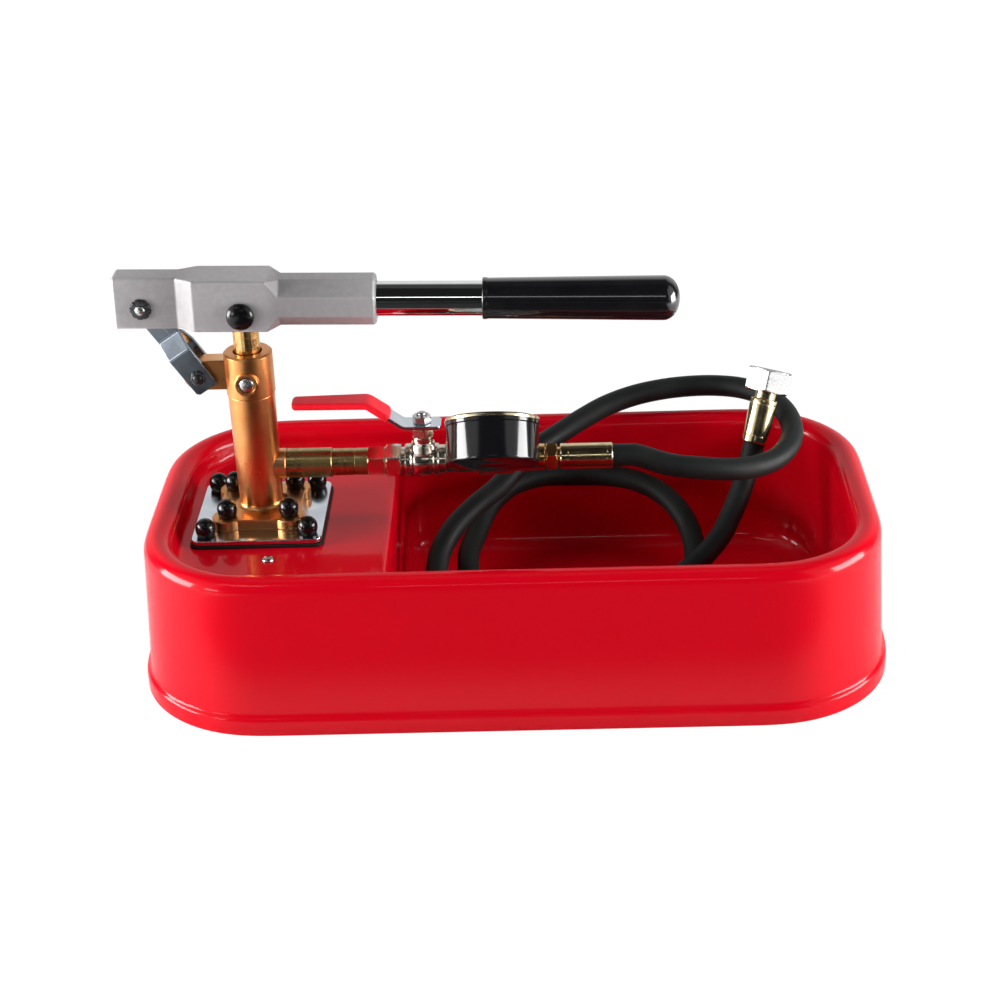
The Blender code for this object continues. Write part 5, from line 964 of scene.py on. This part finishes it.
def makePump(s):
    spread = degrees(acos((s["flangeHalf"] - s["boltReach"]) / s["lobe"])) + 45
    outline, reach = [], s["boltReach"]
    for sx, sy, angle in quarters:
        outline += arcPoints(sx * reach, sy * reach, s["lobe"], angle + 45 - spread, angle + 45 + spread, 20)
    low, high, top, foot = s["flangeBottom"], s["flangeTop"], s["top"], s["flangeTop"] + s["fillet"]
    flange = outlineSolid("flange", outline, low, high, pumpPlace, 0.0007)
    centre, narrow, wide = s["baseRadius"] + s["fillet"], s["baseRadius"], s["topRadius"]
    profile = [(0, top + 0.0006), (s["neck"], top + 0.0006), (s["neck"], top), (wide, top, 0.0004)]
    profile += [(wide + (narrow - wide) * k / 6, top - 0.001 + (foot - top + 0.001) * k / 6) for k in range(1, 6)]
    profile += arcPoints(centre, foot, s["fillet"], 180, 270, 8)
    cylinder = lathe("cylinder", profile + [(centre, high - 0.001), (0, high - 0.001)], pumpPlace, 128)
    r, end = s["bossRadius"], s["bossEnd"]
    boss = lathe("boss", [(0, end), (r - 0.0004, end), (r, end - 0.0004), (r, 0.004), (0, 0.004)], lineAt(pumpX))
    dress(joinItems("pump_casting", [flange, cylinder, boss]), finish("brass", "pump brass", pumpPlace),
        "orange_brass", "pump_body", sharp=35)


def makeHead(s):
    r, low, top, cut, hole, wide = s["radius"], s["bottom"], s["top"], s["chamfer"], s["rodHole"], s["lugRadius"]
    collar = lathe("collar", [(r - cut, top, 0.0003), (r, top - cut, 0.0003), (r, low, 0.0003), (hole, low),
            (hole, top, 0.0005)], pumpPlace, 128, True)
    outline = arcPoints(s["pinX"], 0, wide, 90, 270, 32) + [(-hole - 0.001, -wide), (-hole - 0.001, wide)]
    lug = outlineSolid("lug", outline, -s["lugHalf"], s["lugHalf"], move(pumpX, 0, s["pinZ"]) @ towardFront, 0.0007)
    r, reach, recess, start = s["bossRadius"], s["bossReach"], s["recessRadius"], s["bossStart"]
    floor, front = reach - s["recess"], move(pumpX, 0, s["bossHeight"]) @ towardFront
    boss = lathe("screw_boss", [(0, floor), (recess, floor), (recess, reach, 0.0003), (r, reach, 0.0007),
            (r + 0.0006, start), (0, start)], front, 64)
    dress(joinItems("head_casting", [collar, lug, boss]), finish("brass", "head brass", pumpPlace),
        "orange_brass", "cylinder_head", sharp=35)
    dress(slottedScrew("head_screw_top", *s["screw"], front @ move(0, 0, floor) @ rotate(s["screwTurn"])),
        finish("steel", "screw steel", front), "steel", "head_screw")


makePump(pumpSettings)
makeHead(headSettings)
paintNode("piston_rod", finish("golden", "golden rod", pumpPlace))
paintNode("rod_seal", finish("rubber", "seal rubber"))
paintNode("rod_bush", finish("paleGold", "bush brass", pumpPlace))
print("pump turned")


# Lever: cast head with flat facets, chrome tube, black grip
leverPlace = move(pumpX, 0, 0.1996) @ rotate(1.5, "Y")
leverAxis = leverPlace @ move(0, 0, 0.0049) @ alongX
leverSettings = {
    "sections": [  # along, half width, bottom, top, corner
        (-0.0679, 0.0068, -0.0084, 0.0183, 0.0010), (-0.0669, 0.0078, -0.0094, 0.0193, 0.0010),
        (-0.0341, 0.0078, -0.0094, 0.0193, 0.0010), (-0.0247, 0.01285, -0.0094, 0.0193, 0.0010),
        (0.0137, 0.01285, -0.0094, 0.0193, 0.0010), (0.0203, 0.01285, -0.00795, 0.01775, 0.00753),
        (0.0701, 0.01285, -0.00795, 0.01775, 0.00753), (0.0713, 0.01165, -0.00675, 0.01655, 0.00753)],
    "edge": 0.0007,
    "slots": [  # from, to, half width, top
        (-0.070, -0.0100, 0.0033, 0.0130), (-0.0200, 0.0085, 0.0075, 0.0090)],
    "socket": (0.0273, 0.08),
    "tubeRadius": 0.00925,
    "tubeWall": 0.0015,
    "tubeEnd": 0.2173,
    "grip": {"start": 0.1272, "end": 0.2316, "radius": 0.01085, "endRadius": 0.0119, "dome": 0.0089,
        "bead": 0.0030},
}


def makeLever(s):
    rings = []
    for u, half, low, top, cut in s["sections"]:
        rings.append([(u, -half, low + cut), (u, cut - half, low), (u, half - cut, low), (u, half, low + cut),
                (u, half, top - cut), (u, half - cut, top), (u, cut - half, top), (u, -half, top - cut)])
    head = skin("lever_casting", rings, leverPlace, capped=True)
    modify(head, "BEVEL", width=s["edge"], segments=3, limit_method="ANGLE", angle_limit=radians(18))
    for start, end, half, top in s["slots"]:
        carve(head, boxTool((start, -half, -0.02), (end, half, top), leverPlace))
    (start, end), outer, tubeEnd = s["socket"], s["tubeRadius"], s["tubeEnd"]
    rows = [(0, end), (outer + 0.0003, end), (outer + 0.0003, start), (0, start)]
    carve(head, lathe("socket_tool", rows, leverAxis))
    dress(head, finish("cast", "cast grey"), "cast_grey", "lever_head", body="lever", sharp=20)
    start, inner = start + 0.0003, outer - s["tubeWall"]
    rows = [(outer, tubeEnd), (outer, start), (inner, start), (inner, tubeEnd)]
    tube = lathe("chrome_tube", rows, leverAxis, 128, True)
    dress(tube, finish("chrome", "chrome", leverAxis), "chrome", "lever_tube", body="lever")
    g = s["grip"]
    bead, domeStart, r, wide, steps = g["start"] + g["bead"], g["end"] - g["dome"], g["radius"], g["endRadius"], 10
    profile = [(0, g["end"])] + dome(wide, domeStart, g["dome"], range(8, 91, 7), 0.9)
    profile += [(wide + (r - wide) * k / steps, domeStart + (bead - domeStart) * k / steps) for k in range(1, steps)]
    profile += [(r, bead), (r + 0.0003, bead - 0.0008, 0.0006), (r + 0.0003, g["start"], 0.0008),
        (outer + 0.0003, g["start"], 0.0003), (outer + 0.0003, tubeEnd + 0.0003), (0, tubeEnd + 0.0003)]
    dress(lathe("black_grip", profile, leverAxis, 128), finish("blackGloss", "grip black"), "glossy_black",
        "lever_grip", body="lever", sharp=50)


makeLever(leverSettings)
print("lever cast")


# Link straps with their joggle, and the three pins
linkSettings = {"length": 0.048, "inner": 0.00015, "outer": 0.0056, "thickness": 0.0025, "half": 0.0067,
    "joggle": (0.022, 0.032), "bend": 0.0008, "foot": 0.0085, "edge": 0.0015, "eyeHalf": 0.0060,
    "slotRadius": 0.0035, "slotLeft": 0.0042, "eyeWall": 0.0019, "hole": 0.0029,
    "axes": ((0.54988, 0, -0.83524), (0.83524, 0, 0.54988), (0, -1, 0))}
pivotA, pivotB = (-0.1921, 0, 0.2031), (-0.1657, 0, 0.1630)
sides = (("front", 1, Matrix()), ("back", -1, rotate(180, "X")))


def softBend(value, soft):
    # height and slope: zero before the bend, a straight rise after it
    if abs(value) >= soft:
        return (value, 1.0) if value > 0 else (0.0, 0.0)
    return (value + soft) ** 2 / (4 * soft), (value + soft) / (2 * soft)


def makeLinks(s):
    place = move(*pivotA) @ axes(*s["axes"])
    left = s["slotRadius"] + s["slotLeft"] + s["eyeWall"]
    foot, half, edge, eye = s["length"] + s["foot"], s["half"], s["edge"], s["eyeHalf"]
    outline = [(edge - eye, -left), (eye, -left), (eye + left - half, -half), (foot - edge, -half),
        (foot, edge - half), (foot, half - edge), (foot - edge, half), (edge - eye, half), (-eye, half - edge),
        (-eye, edge - left)]
    radius = s["slotRadius"]
    slot = arcPoints(0, 0, radius, 0, 180, 16) + arcPoints(0, -s["slotLeft"], radius, 180, 360, 16)
    hole = arcPoints(s["length"], 0, s["hole"], 0, 360, 24)[:-1]
    # the joggle: a straight slope with a tight bend at each end
    soft, (start, end) = s["bend"], s["joggle"]
    slope = (s["outer"] - s["inner"]) / (end - start)
    for name, side, _ in sides:
        strap = outlineSolid("strap_" + name, outline, s["inner"], s["inner"] + s["thickness"], Matrix(), 0.0002,
            (slot, hole))
        bm = bmesh.new()
        bm.from_mesh(strap.data)
        for at in (middle + soft * step for middle in (start, end) for step in (-1, -0.5, 0, 0.5, 1)):
            bmesh.ops.bisect_plane(bm, geom=bm.verts[:] + bm.edges[:] + bm.faces[:], plane_co=(at, 0, 0),
                plane_no=(1, 0, 0))
        for vert in bm.verts:
            rise = softBend(vert.co.x - start, soft)[0] - softBend(vert.co.x - end, soft)[0]
            vert.co.z = (vert.co.z + slope * rise) * side
        bm.transform(place)
        bmesh.ops.recalc_face_normals(bm, faces=bm.faces)
        bm.to_mesh(strap.data)
        bm.free()
        dress(strap, finish("strap", "strap zinc"), "zinc", "link_" + name, body="link", sharp=30)


pinSettings = {
    # where the rounded ends start and how high they are; the ring's radius, bore, height from and to, teeth
    "a": {"radius": 0.0027, "half": 0.0099, "ring": (0.0058, 0.0030, 0.0079, 0.0097, 9)},
    "b": {"radius": 0.0026, "half": 0.0098, "ring": (0.0042, 0.0029, 0.0083, 0.0098, 7)},
    "dome": 0.0012,
    "cap": {"radius": 0.0074, "base": 0.01385, "rise": 0.0037, "low": 0.01295, "hole": 0.0033, "floor": 0.01605},
}


def lockRing(name, radius, bore, low, high, teeth, place):
    # a dished spring ring whose rim is cut into blunt teeth
    rings = [circle(bore, low, teeth * 8)]
    for reach, height in ((radius, low), (radius, low + 0.0004), (radius * 0.86, high - 0.0002)):
        wide = reach > bore * 1.2
        rings.append([(x * 0.9, y * 0.9, z) if wide and k % 8 in (0, 1) else (x, y, z)
                for k, (x, y, z) in enumerate(circle(reach, height, teeth * 8))])
    return skin(name, [*rings, circle(bore, high, teeth * 8)], place, closed=True)


def makePins(s):
    places = {"a": move(*pivotA) @ towardFront, "b": move(*pivotB) @ towardFront}
    steel, black = finish("steel", "pin steel", places["a"]), finish("blackSteel", "ring black")
    for pin, body, material, slot in (("a", "lever", steel, "steel"), ("b", "base", black, "black_steel")):
        r, half, rise, place = s[pin]["radius"], s[pin]["half"], s["dome"], places[pin]
        rows = [(0, half + rise)] + dome(r, half, rise, (20, 40, 60, 80)) + [(r, half - 0.0002)]
        rows += [(radius, -height) for radius, height in reversed(rows)]
        dress(lathe(f"pin_{pin}_rod", rows, place, 48), material, slot, f"pin_{pin}", body=body)
        for name, _, turn in sides:
            dress(lockRing(f"clip_{pin}_{name}", *s[pin]["ring"], place @ turn), black, "black_steel",
                f"pin_{pin}_ring_{name}", body=body)
    cap = s["cap"]
    r, base, low, hole = cap["radius"], cap["base"], cap["low"], cap["hole"]
    profile = [(0, base + cap["rise"])] + dome(r, base, cap["rise"], range(8, 91, 8))
    profile += [(r, low + 0.0003), (r - 0.0003, low), (hole, low), (hole, cap["floor"]), (0, cap["floor"])]
    for name, _, turn in sides:
        domeCap = lathe("cap_c_" + name, profile, leverPlace @ towardFront @ turn, 64)
        dress(domeCap, finish("blackCap", "pin cap black"), "black_plastic", "pin_c_cap_" + name, body="lever",
            weighted=False)
    paintNode("pin_c", steel)


makeLinks(linkSettings)
makePins(pinSettings)
print("links and pins set")


# Outlet line: pipe, nipple, reducing nut
lineSettings = {"pipe": (-0.1230, 0.0253, 0.00815), "nipple": (-0.0978, 0.0196, 0.00745),
    "reducer": (-0.0784, 0.0101, 0.0150), "bore": 0.0030}


def makeOutlet(s):
    start, length, r = s["pipe"]
    turnedPiece("pipe_turned", rodRows(r, 0, length, 0.0005), lineAt(start), "olive", "pipe gold", "golden_steel",
        "outlet_pipe")
    start, length, r = s["nipple"]
    inner = r - 0.0003
    turnedPiece("nipple_turned", [(0, length), (inner, length), (r, length - 0.0003), (r, length * 0.66),
            (inner, length * 0.66 - 0.0004), (inner, length * 0.62), (r, length * 0.6),
            (r, 0.0003), (inner, 0), (0, 0)],
        lineAt(start), "olive", "nipple gold", "golden_steel", "nipple")
    start, length, flats = s["reducer"]
    hexPiece("reducer_hex", (flats, 0, length), s["bore"], lineAt(start), 30, "nickel", "reducer nickel", "nickel",
        "reducer_nut")


makeOutlet(lineSettings)
for node in ("outlet_ball", "inlet_ball"):
    paintNode(node, bpy.data.materials.get("check ball steel") or finish("steel", "check ball steel"))


# Ball valve: hexagon end, banded barrel, bonnet, packing nut, stem, bent handle with its red sleeve
valveSettings = {
    "start": -0.0681, "hex": (0.0175, 0, 0.0085),
    # the barrel's outline, (way along, radius)
    "barrel": [(0.0080, 0.0074), (0.0104, 0.0074), (0.0106, 0.0086), (0.0112, 0.0092), (0.0136, 0.0092),
        (0.0141, 0.0088), (0.0146, 0.0083), (0.0154, 0.0083), (0.0162, 0.0088), (0.0182, 0.00905),
        (0.0206, 0.0092), (0.0228, 0.00905), (0.0244, 0.0088), (0.0250, 0.0082), (0.0256, 0.0082),
        (0.0260, 0.0088), (0.0264, 0.0092), (0.0286, 0.0092), (0.0292, 0.0088), (0.0294, 0.0082),
        (0.0326, 0.0082), (0.0328, 0.0080)],
    "stemX": -0.0474, "gap": 0.0003, "bonnet": 0.0055, "bonnetTop": 0.1220,
    "bonnetFoot": [(0.0064, 0.1178, 0.0004), (0.0067, 0.1160), (0.0072, 0.1140), (0.0074, 0.1100), (0, 0.1100)],
    "packing": (0.0110, 0.1222, 0.1275), "nut": (0.0090, 0.1302, 0.1342), "stemRadius": 0.0024, "stemTop": 0.1362,
    "thread": (20, 0.0003, 0.00022),        # rows, height and depth
}
handleSettings = {"low": 0.1278, "thickness": 0.0022, "width": 0.0140, "stop": 0.0105, "end": 0.0685,
    "bends": (0.0100, 0.0290), "rise": 0.0140, "bendRadius": 0.0050, "hole": 0.0027,
    "sleeve": (0.0175, 0.0700), "sleeveWall": 0.0009, "taper": 0.24}


def makeValve(s):
    place, upright, r = lineAt(s["start"]), move(s["stemX"], 0, 0), s["stemRadius"]
    hexEnd = hexShape("valve_hex", *s["hex"], 0, place, pi / 6)
    rows = [(0, s["barrel"][-1][0])] + [(radius, along) for along, radius in reversed(s["barrel"])]
    barrel = lathe("valve_casting", rows + [(0, s["barrel"][0][0])], place, 128)
    wide, top = s["bonnet"], s["bonnetTop"]
    bonnet = lathe("bonnet", [(0, top), (wide - 0.0004, top), (wide, top - 0.0004), (wide, 0.1188, 0.0004),
            *s["bonnetFoot"]], upright)
    carve(barrel, hexEnd, "UNION")
    carve(barrel, bonnet, "UNION")
    # the ball's room, the stem's hole and the way through stay open
    low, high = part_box("valve_ball")
    space, hole = (high.x - low.x) / 2 + s["gap"], r + s["gap"]
    room = arcPoints(0, 0, space, degrees(acos(hole / space)), -84, 24)
    for rows, where in (([(0, 0.0200), (hole, 0.0200), *room, (0, -space)], move(s["stemX"], 0, lineHeight)),
            ([(0, 0.0360), (0.0030, 0.0360), (0.0030, -0.0020), (0, -0.0020)], place)):
        carve(barrel, lathe("room_tool", rows, where, 48))
    dress(barrel, finish("nickel", "valve nickel", place), "nickel", "valve_body", sharp=26)
    bore = r + 0.0004
    hexPiece("packing_hex", s["packing"], bore, upright, 12, "nickel", "packing nickel", "nickel", "packing_nut")
    hexPiece("handle_hex", s["nut"], bore, upright, 20, "steel", "nut steel", "zinc", "handle_nut", body="valve")
    (count, pitch, depth), top, base = s["thread"], s["stemTop"], s["stemTop"] - r * 0.35
    rows = [(0, top)] + dome(r, base, r * 0.35, (20, 40, 60, 80))
    rows += [(r - depth * (k % 2), base - pitch * (k + 1)) for k in range(count)]
    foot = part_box("valve_stem")[0].z
    turnedPiece("stem_thread", rows + [(r, 0.1290), (r, foot), (0, foot)], upright, "steel", "stem steel", "steel",
        "valve_stem", steps=48, body="valve", sharp=50)
    paintNode("valve_ball", finish("chrome", "ball chrome", upright))


def bentPath(s, start, end, lift, step=0.0009):
    # way out from the stem, height and slope: flat, a slope with soft bends, flat again
    first, last = s["bends"]
    slope = s["rise"] / (last - first)
    soft = s["bendRadius"] * tan(atan(slope) / 2)
    count, path = max(2, round((end - start) / step)), []
    for k in range(count + 1):
        at = start + (end - start) * k / count
        a, b = softBend(at - first, soft), softBend(at - last, soft)
        path.append((at, lift + slope * (a[0] - b[0]), slope * (a[1] - b[1])))
    return path


def stripLoft(name, path, width, thickness, corner, rounding, place, taper):
    # a soft-cornered strip along the path, narrower at its far end, its ends drawn in over the rounding
    rings, first, last = [], path[0][0], path[-1][0]
    for at, height, slope in path:
        near, share = min(at - first, last - at), 1.0
        if near < rounding:
            share = 1 - 0.32 * (1 - sqrt(1 - (1 - near / rounding) ** 2))
        w, t = width / 2 * share * (1 - taper * (at - first) / (last - first)), thickness / 2 * share
        nx, nz = -slope / hypot(1, slope), 1 / hypot(1, slope)
        rings.append([(-(at + nx * up), y, height + nz * up) for y, up in softBox(w, t, min(corner, t * 0.96), 4)])
    return skin(name, rings, place, capped=True)


def makeHandle(s):
    place, middle = move(valveSettings["stemX"], 0, 0), s["low"] + s["thickness"] / 2

    def strip(name, start, end, wall, corner, rounding):
        return stripLoft(name, bentPath(s, start, end, middle), s["width"] + 2 * wall, s["thickness"] + 2 * wall,
            corner, rounding, place, s["taper"])

    bar = strip("handle_strip", -s["stop"], s["end"], 0, 0.0005, 0.0035)
    carve(bar, lathe("stem_tool", [(0, 0.135), (s["hole"], 0.135), (s["hole"], 0.125), (0, 0.125)], place, 48))
    dress(bar, finish("zinc", "handle zinc"), "zinc", "valve_handle", body="valve", sharp=35)
    dress(strip("sleeve_dip", *s["sleeve"], s["sleeveWall"], 0.0015, 0.0022), finish("vinyl", "sleeve red"),
        "red_vinyl", "handle_sleeve", body="valve", sharp=70)


makeValve(valveSettings)
makeHandle(handleSettings)
print("valve set")


# Tee with its branch, and the gauge that stands on it, dial turned up and back
branchPlace = move(-0.008, 0, lineHeight) @ rotate(56, "X")
gaugePlace = branchPlace @ move(0, 0, 0.049) @ rotate(-90, "X")
teeSettings = {"start": -0.0350, "end": 0.0151, "radius": 0.0075, "middle": (0.0175, 0.0365, 0.0090),
    "branchRadius": 0.0070, "branchReach": 0.0155, "ring": (0.0080, 0.0118, 0.0154)}
gaugeSettings = {
    "radius": 0.0245, "half": 0.0104, "wall": 0.0018, "dialDepth": 0.0060, "stem": (0.0120, 0.0157, 0.0262),
    "bezelRadius": 0.0251, "band": 0.0117, "opening": 0.0220, "lip": 0.0018, "glassTop": 0.0122,
    "ticks": [  # count, length, width
        (31, 0.0013, 0.00022), (7, 0.0026, 0.00042)],
    "tickRadius": 0.0198, "restAngle": 90, "sweep": 270, "numbers": ["0", "10", "20", "30", "40", "50", "60"],
    "numberRadius": 0.0148, "numberSize": 0.0031,
}


def makeTee(s):
    length, (low, high, wide), r = s["end"] - s["start"], s["middle"], s["radius"]
    run = lathe("tee_run", [(0, length), (r - 0.0004, length), (r, length - 0.0004), (r, high + 0.0012),
            (wide, high, 0.0006), (wide, low, 0.0006), (r, low - 0.0012), (r, 0.0004),
            (r - 0.0004, 0), (0, 0)], lineAt(s["start"]), 128)
    r, reach = s["branchRadius"], s["branchReach"]
    branch = lathe("tee_arm", [(0, reach), (r, reach), (r, 0.0100), (r + 0.0012, 0.0080), (0, 0.0060)], branchPlace)
    dress(joinItems("tee_casting", [run, branch]), finish("nickel", "tee nickel", lineAt(s["start"])), "nickel",
        "gauge_tee", sharp=30)
    turnedPiece("tee_seal_ring", rodRows(*s["ring"], 0.0004), branchPlace, "brass", "ring bronze", "brass")


def makeTickTree():
    # marks along a dial's arc: each a small block, turned to point at the centre
    tree, given, out = newTree("marksOnArc", "Geometry",
        [("Geometry", "Geometry"), ("Radius", "Float"), ("Start", "Float"), ("Step", "Float"),
            ("Length", "Float"), ("Width", "Float"), ("Height", "Float"), ("Count", "Int"),
            ("Finish", "Material")], [("Geometry", "Geometry")])
    index = addNode(tree, "GeometryNodeInputIndex")
    angle = calc(tree, "MULTIPLY_ADD", index, given["Step"], given["Start"])
    x, y = [calc(tree, "MULTIPLY", calc(tree, wave, angle), given["Radius"]) for wave in ("COSINE", "SINE")]
    line = addNode(tree, "GeometryNodeMeshLine", {"Count": given["Count"]})
    spots = addNode(tree, "GeometryNodeSetPosition",
        {"Geometry": line, "Position": addNode(tree, "CombineXYZ", {"X": x, "Y": y})})
    size = addNode(tree, "CombineXYZ", {"X": given["Length"], "Y": given["Width"], "Z": given["Height"]})
    mark = addNode(tree, "GeometryNodeMeshCube", {"Size": size})
    placed = addNode(tree, "GeometryNodeInstanceOnPoints",
        {"Points": spots, "Instance": mark, "Rotation": addNode(tree, "CombineXYZ", {"Z": angle})})
    return endTree(tree, out, placed, given["Finish"])


def makeDialPrint(s, top, ink):
    # the pointer rests at the stem, so the first mark stands there too; the stem is the reader's lower side
    parts, tree, start, sweep = [], makeTickTree(), radians(s["restAngle"]), radians(s["sweep"])
    for count, length, width in s["ticks"]:
        marks = runTree(meshObject("marks", [(0, 0, 0)], [], False), tree, {
                "Radius": s["tickRadius"] - length / 2, "Start": start, "Step": -sweep / (count - 1),
                "Length": length,
                "Width": width, "Height": 0.00008, "Count": count, "Finish": ink})
        marks.data.transform(move(0, 0, top + 0.00002))
        parts.append(marks)
    for index, text in enumerate(s["numbers"]):
        angle = start - sweep * index / (len(s["numbers"]) - 1)
        curve = bpy.data.curves.new("number", "FONT")
        curve.body, curve.size, curve.extrude = text, s["numberSize"], 0.00003
        curve.align_x = curve.align_y = "CENTER"
        number, reach = plainMesh(newObject("number", curve)), s["numberRadius"]
        number.data.transform(move(reach * cos(angle), reach * sin(angle), top + 0.00003) @ rotate(180))
        parts.append(number)
    printed = joinItems("dial_print", parts)
    printed.data.transform(gaugePlace)
    dress(printed, ink, "black_plastic", weighted=False)


def makeGauge(s):
    half, r, wall, band, wide, glass = s["half"], s["radius"], s["wall"], s["band"], s["bezelRadius"], s["glassTop"]
    seat, inner, rim = half - s["dialDepth"] - 0.0010, r - wall, wide - 0.0001
    profile = [(0, wall - half), (inner - 0.0015, wall - half), (inner - 0.0015, seat), (inner, seat), (inner, half),
        (r - 0.0006, half), (r - 0.0006, band), (rim, band, 0.0002), (rim, half - 0.0004), (r, half - 0.0010),
        (r, -half + 0.0016), (r - 0.0005, -half + 0.0005), (r - 0.0016, -half),
        (0.0095, -half), (0.0085, -half + 0.0005), (0, -half + 0.0005)]
    drum = lathe("drum", profile, gaugePlace, 160)
    stem = hexShape("drum_stem", *s["stem"], 0, branchPlace, pi / 6)
    dress(joinItems("gauge_drum", [drum, stem]), finish("drum", "drum black"), "glossy_black", "gauge_case", sharp=30)
    bottom, top, seat = band + 0.0001, glass + s["lip"], glass + 0.0003
    bezel = lathe("bezel_ring", [(wide - 0.0004, top, 0.0004), (wide, top - 0.0010, 0.0004), (wide, bottom, 0.0003),
            (r - 0.0006, bottom), (r - 0.0006, seat), (s["opening"], seat),
            (s["opening"], top - 0.0007, 0.0003)], gaugePlace, 160, True)
    dress(bezel, finish("paleGold", "bezel gold", gaugePlace), "pale_gold", "gauge_bezel", sharp=35)
    ink, upward = finish("blackCap", "dial ink"), gaugePlace.to_3x3() @ Vector((0, 0, 1))
    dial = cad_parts["gauge_dial"].data.vertices
    makeDialPrint(s, max((v.co - gaugePlace.translation).dot(upward) for v in dial), ink)
    paintNode("gauge_dial", finish("dial", "dial white", gaugePlace))
    paintNode("gauge_pointer", ink)
    paintNode("gauge_movement", finish("paleGold", "movement brass"))
    paintNode("gauge_glass", glassMaterial())


makeTee(teeSettings)
makeGauge(gaugeSettings)
print("tee and gauge set")


# Hose ends: adapter, crimped ferrules, union nut; and the suction pipe under the platform
adapterSettings = {"start": 0.0152, "ring": (0.0073, 0.0040), "neck": 0.0052, "hex": (0.0142, 0.0046, 0.0108),
    "end": 0.0124, "ferrule": (0.0275, 0.0290, 0.00715)}
tailSettings = {"place": (0.13867, 0.04231, 0.09187), "axis": (0.23684, 0.35607, 0.90395),
    "across": (0.97155, -0.08680, -0.22036), "turn": -8.9,
    "radius": 0.00765, "length": 0.0257, "neck": (0.0060, 0.0315), "collar": (0.0088, 0.0355),
    "cone": (0.0058, 0.0385), "nut": (0.0240, 0.0297, 0.0427), "bore": 0.0100, "pitch": 0.0014}


def crimpedRows(radius, low, high):
    # a pressed sleeve: rolled edges, a fine line near each end and a slightly raised mouth
    rows = [(radius - 0.0009, high), (radius - 0.0003, high - 0.0002), (radius, high - 0.0007)]
    for middle in (high - 0.0032, low + 0.0044):
        rows += [(radius, middle + 0.0005), (radius - 0.00016, middle + 0.0002), (radius - 0.00016, middle - 0.0002),
            (radius, middle - 0.0005)]
    return rows + [(radius, low + 0.0014), (radius + 0.00012, low + 0.0009), (radius, low + 0.0003),
        (radius - 0.0006, low)]


def makeAdapter(s):
    place, end, neck, (r, step) = lineAt(s["start"]), s["end"], s["neck"], s["ring"]
    ring = lathe("adapter_collar", [(0, end), (neck, end), (neck, step), (r - 0.0004, step), (r, step - 0.0004),
            (r, 0.0004), (r - 0.0004, 0), (0, 0)], place)
    adapter = joinItems("adapter_turned", [ring, hexShape("adapter_hex", *s["hex"], 0, place, pi / 6)])
    dress(adapter, finish("golden", "adapter gold", place), "golden_steel", "hose_adapter", sharp=26)
    start, length, r = s["ferrule"]
    turnedPiece("ferrule_pressed", [(0, length), *crimpedRows(r, 0, length), (0, 0)], lineAt(start), "yellowZinc",
        "ferrule zinc", "yellow_zinc", "hose_ferrule", steps=128, sharp=60)


def makeTail(s):
    axis, across = Vector(s["axis"]), Vector(s["across"])
    place = move(*s["place"]) @ axes(across, axis.cross(across), axis)
    (neck, neckEnd), (collar, collarEnd), (cone, coneEnd), length = s["neck"], s["collar"], s["cone"], s["length"]
    rows = [(0, coneEnd - 0.002), (0.0032, coneEnd - 0.002), (0.0036, coneEnd), (cone - 0.0004, coneEnd),
        (cone, coneEnd - 0.0004), (collar, collarEnd, 0.0003), (collar, neckEnd, 0.0003), (neck, neckEnd),
        (neck, length + 0.0002), *crimpedRows(s["radius"], 0, length), (0, 0)]
    tail = turnedPiece("tail_pressed", rows, place, "yellowZinc", "tail zinc", "yellow_zinc", "tail_ferrule",
        steps=128, sharp=60)
    return tail, makeUnion(s, neck, place @ rotate(s["turn"] + 30))


def makeUnion(s, neck, place):
    # the nut: hexagon outside, thread inside, a lip that holds it on the ferrule's collar
    (flats, low, high), bore, pitch = s["nut"], s["bore"], s["pitch"]
    rows = [(bore + 0.0010, high), (bore + 0.0004, high - 0.0007)]
    for top in (high - 0.0007 - pitch * k for k in range(int((high - low - 0.0040) / pitch))):
        rows += [(bore + 0.0004, top - 0.0002), (bore - 0.0002, top - 0.0006), (bore - 0.0002, top - 0.0009),
            (bore + 0.0004, top - 0.0013)]
    rows += [(bore + 0.0004, low + 0.0018), (neck + 0.0004, low + 0.0018), (neck + 0.0004, low + 0.0006),
        (neck + 0.0008, low)]
    rings = hexRings(flats, low, high, pi / 6, 192, 0.99, 0.965, (0, 0.3, 0.6, 1))
    rings += [circle(radius, height, 192, pi / 6) for radius, height in rows]
    nut = skin("union_hex", rings, place, closed=True)
    return dress(nut, finish("steel", "union steel", place), "steel", "union_nut", body="union", sharp=24)


makeAdapter(adapterSettings)
tailPiece, unionPiece = makeTail(tailSettings)
paintNode("suction_tube", finish("steel", "suction steel"))
paintNode("strainer", finish("zinc", "strainer zinc"))
print("hose ends set")


# Last: the hose rides on the base, and the model's hose solid is hidden
def finishScene():
    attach(hosePiece, "base")
    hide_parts("hose")


finishScene()
print("scene finished")
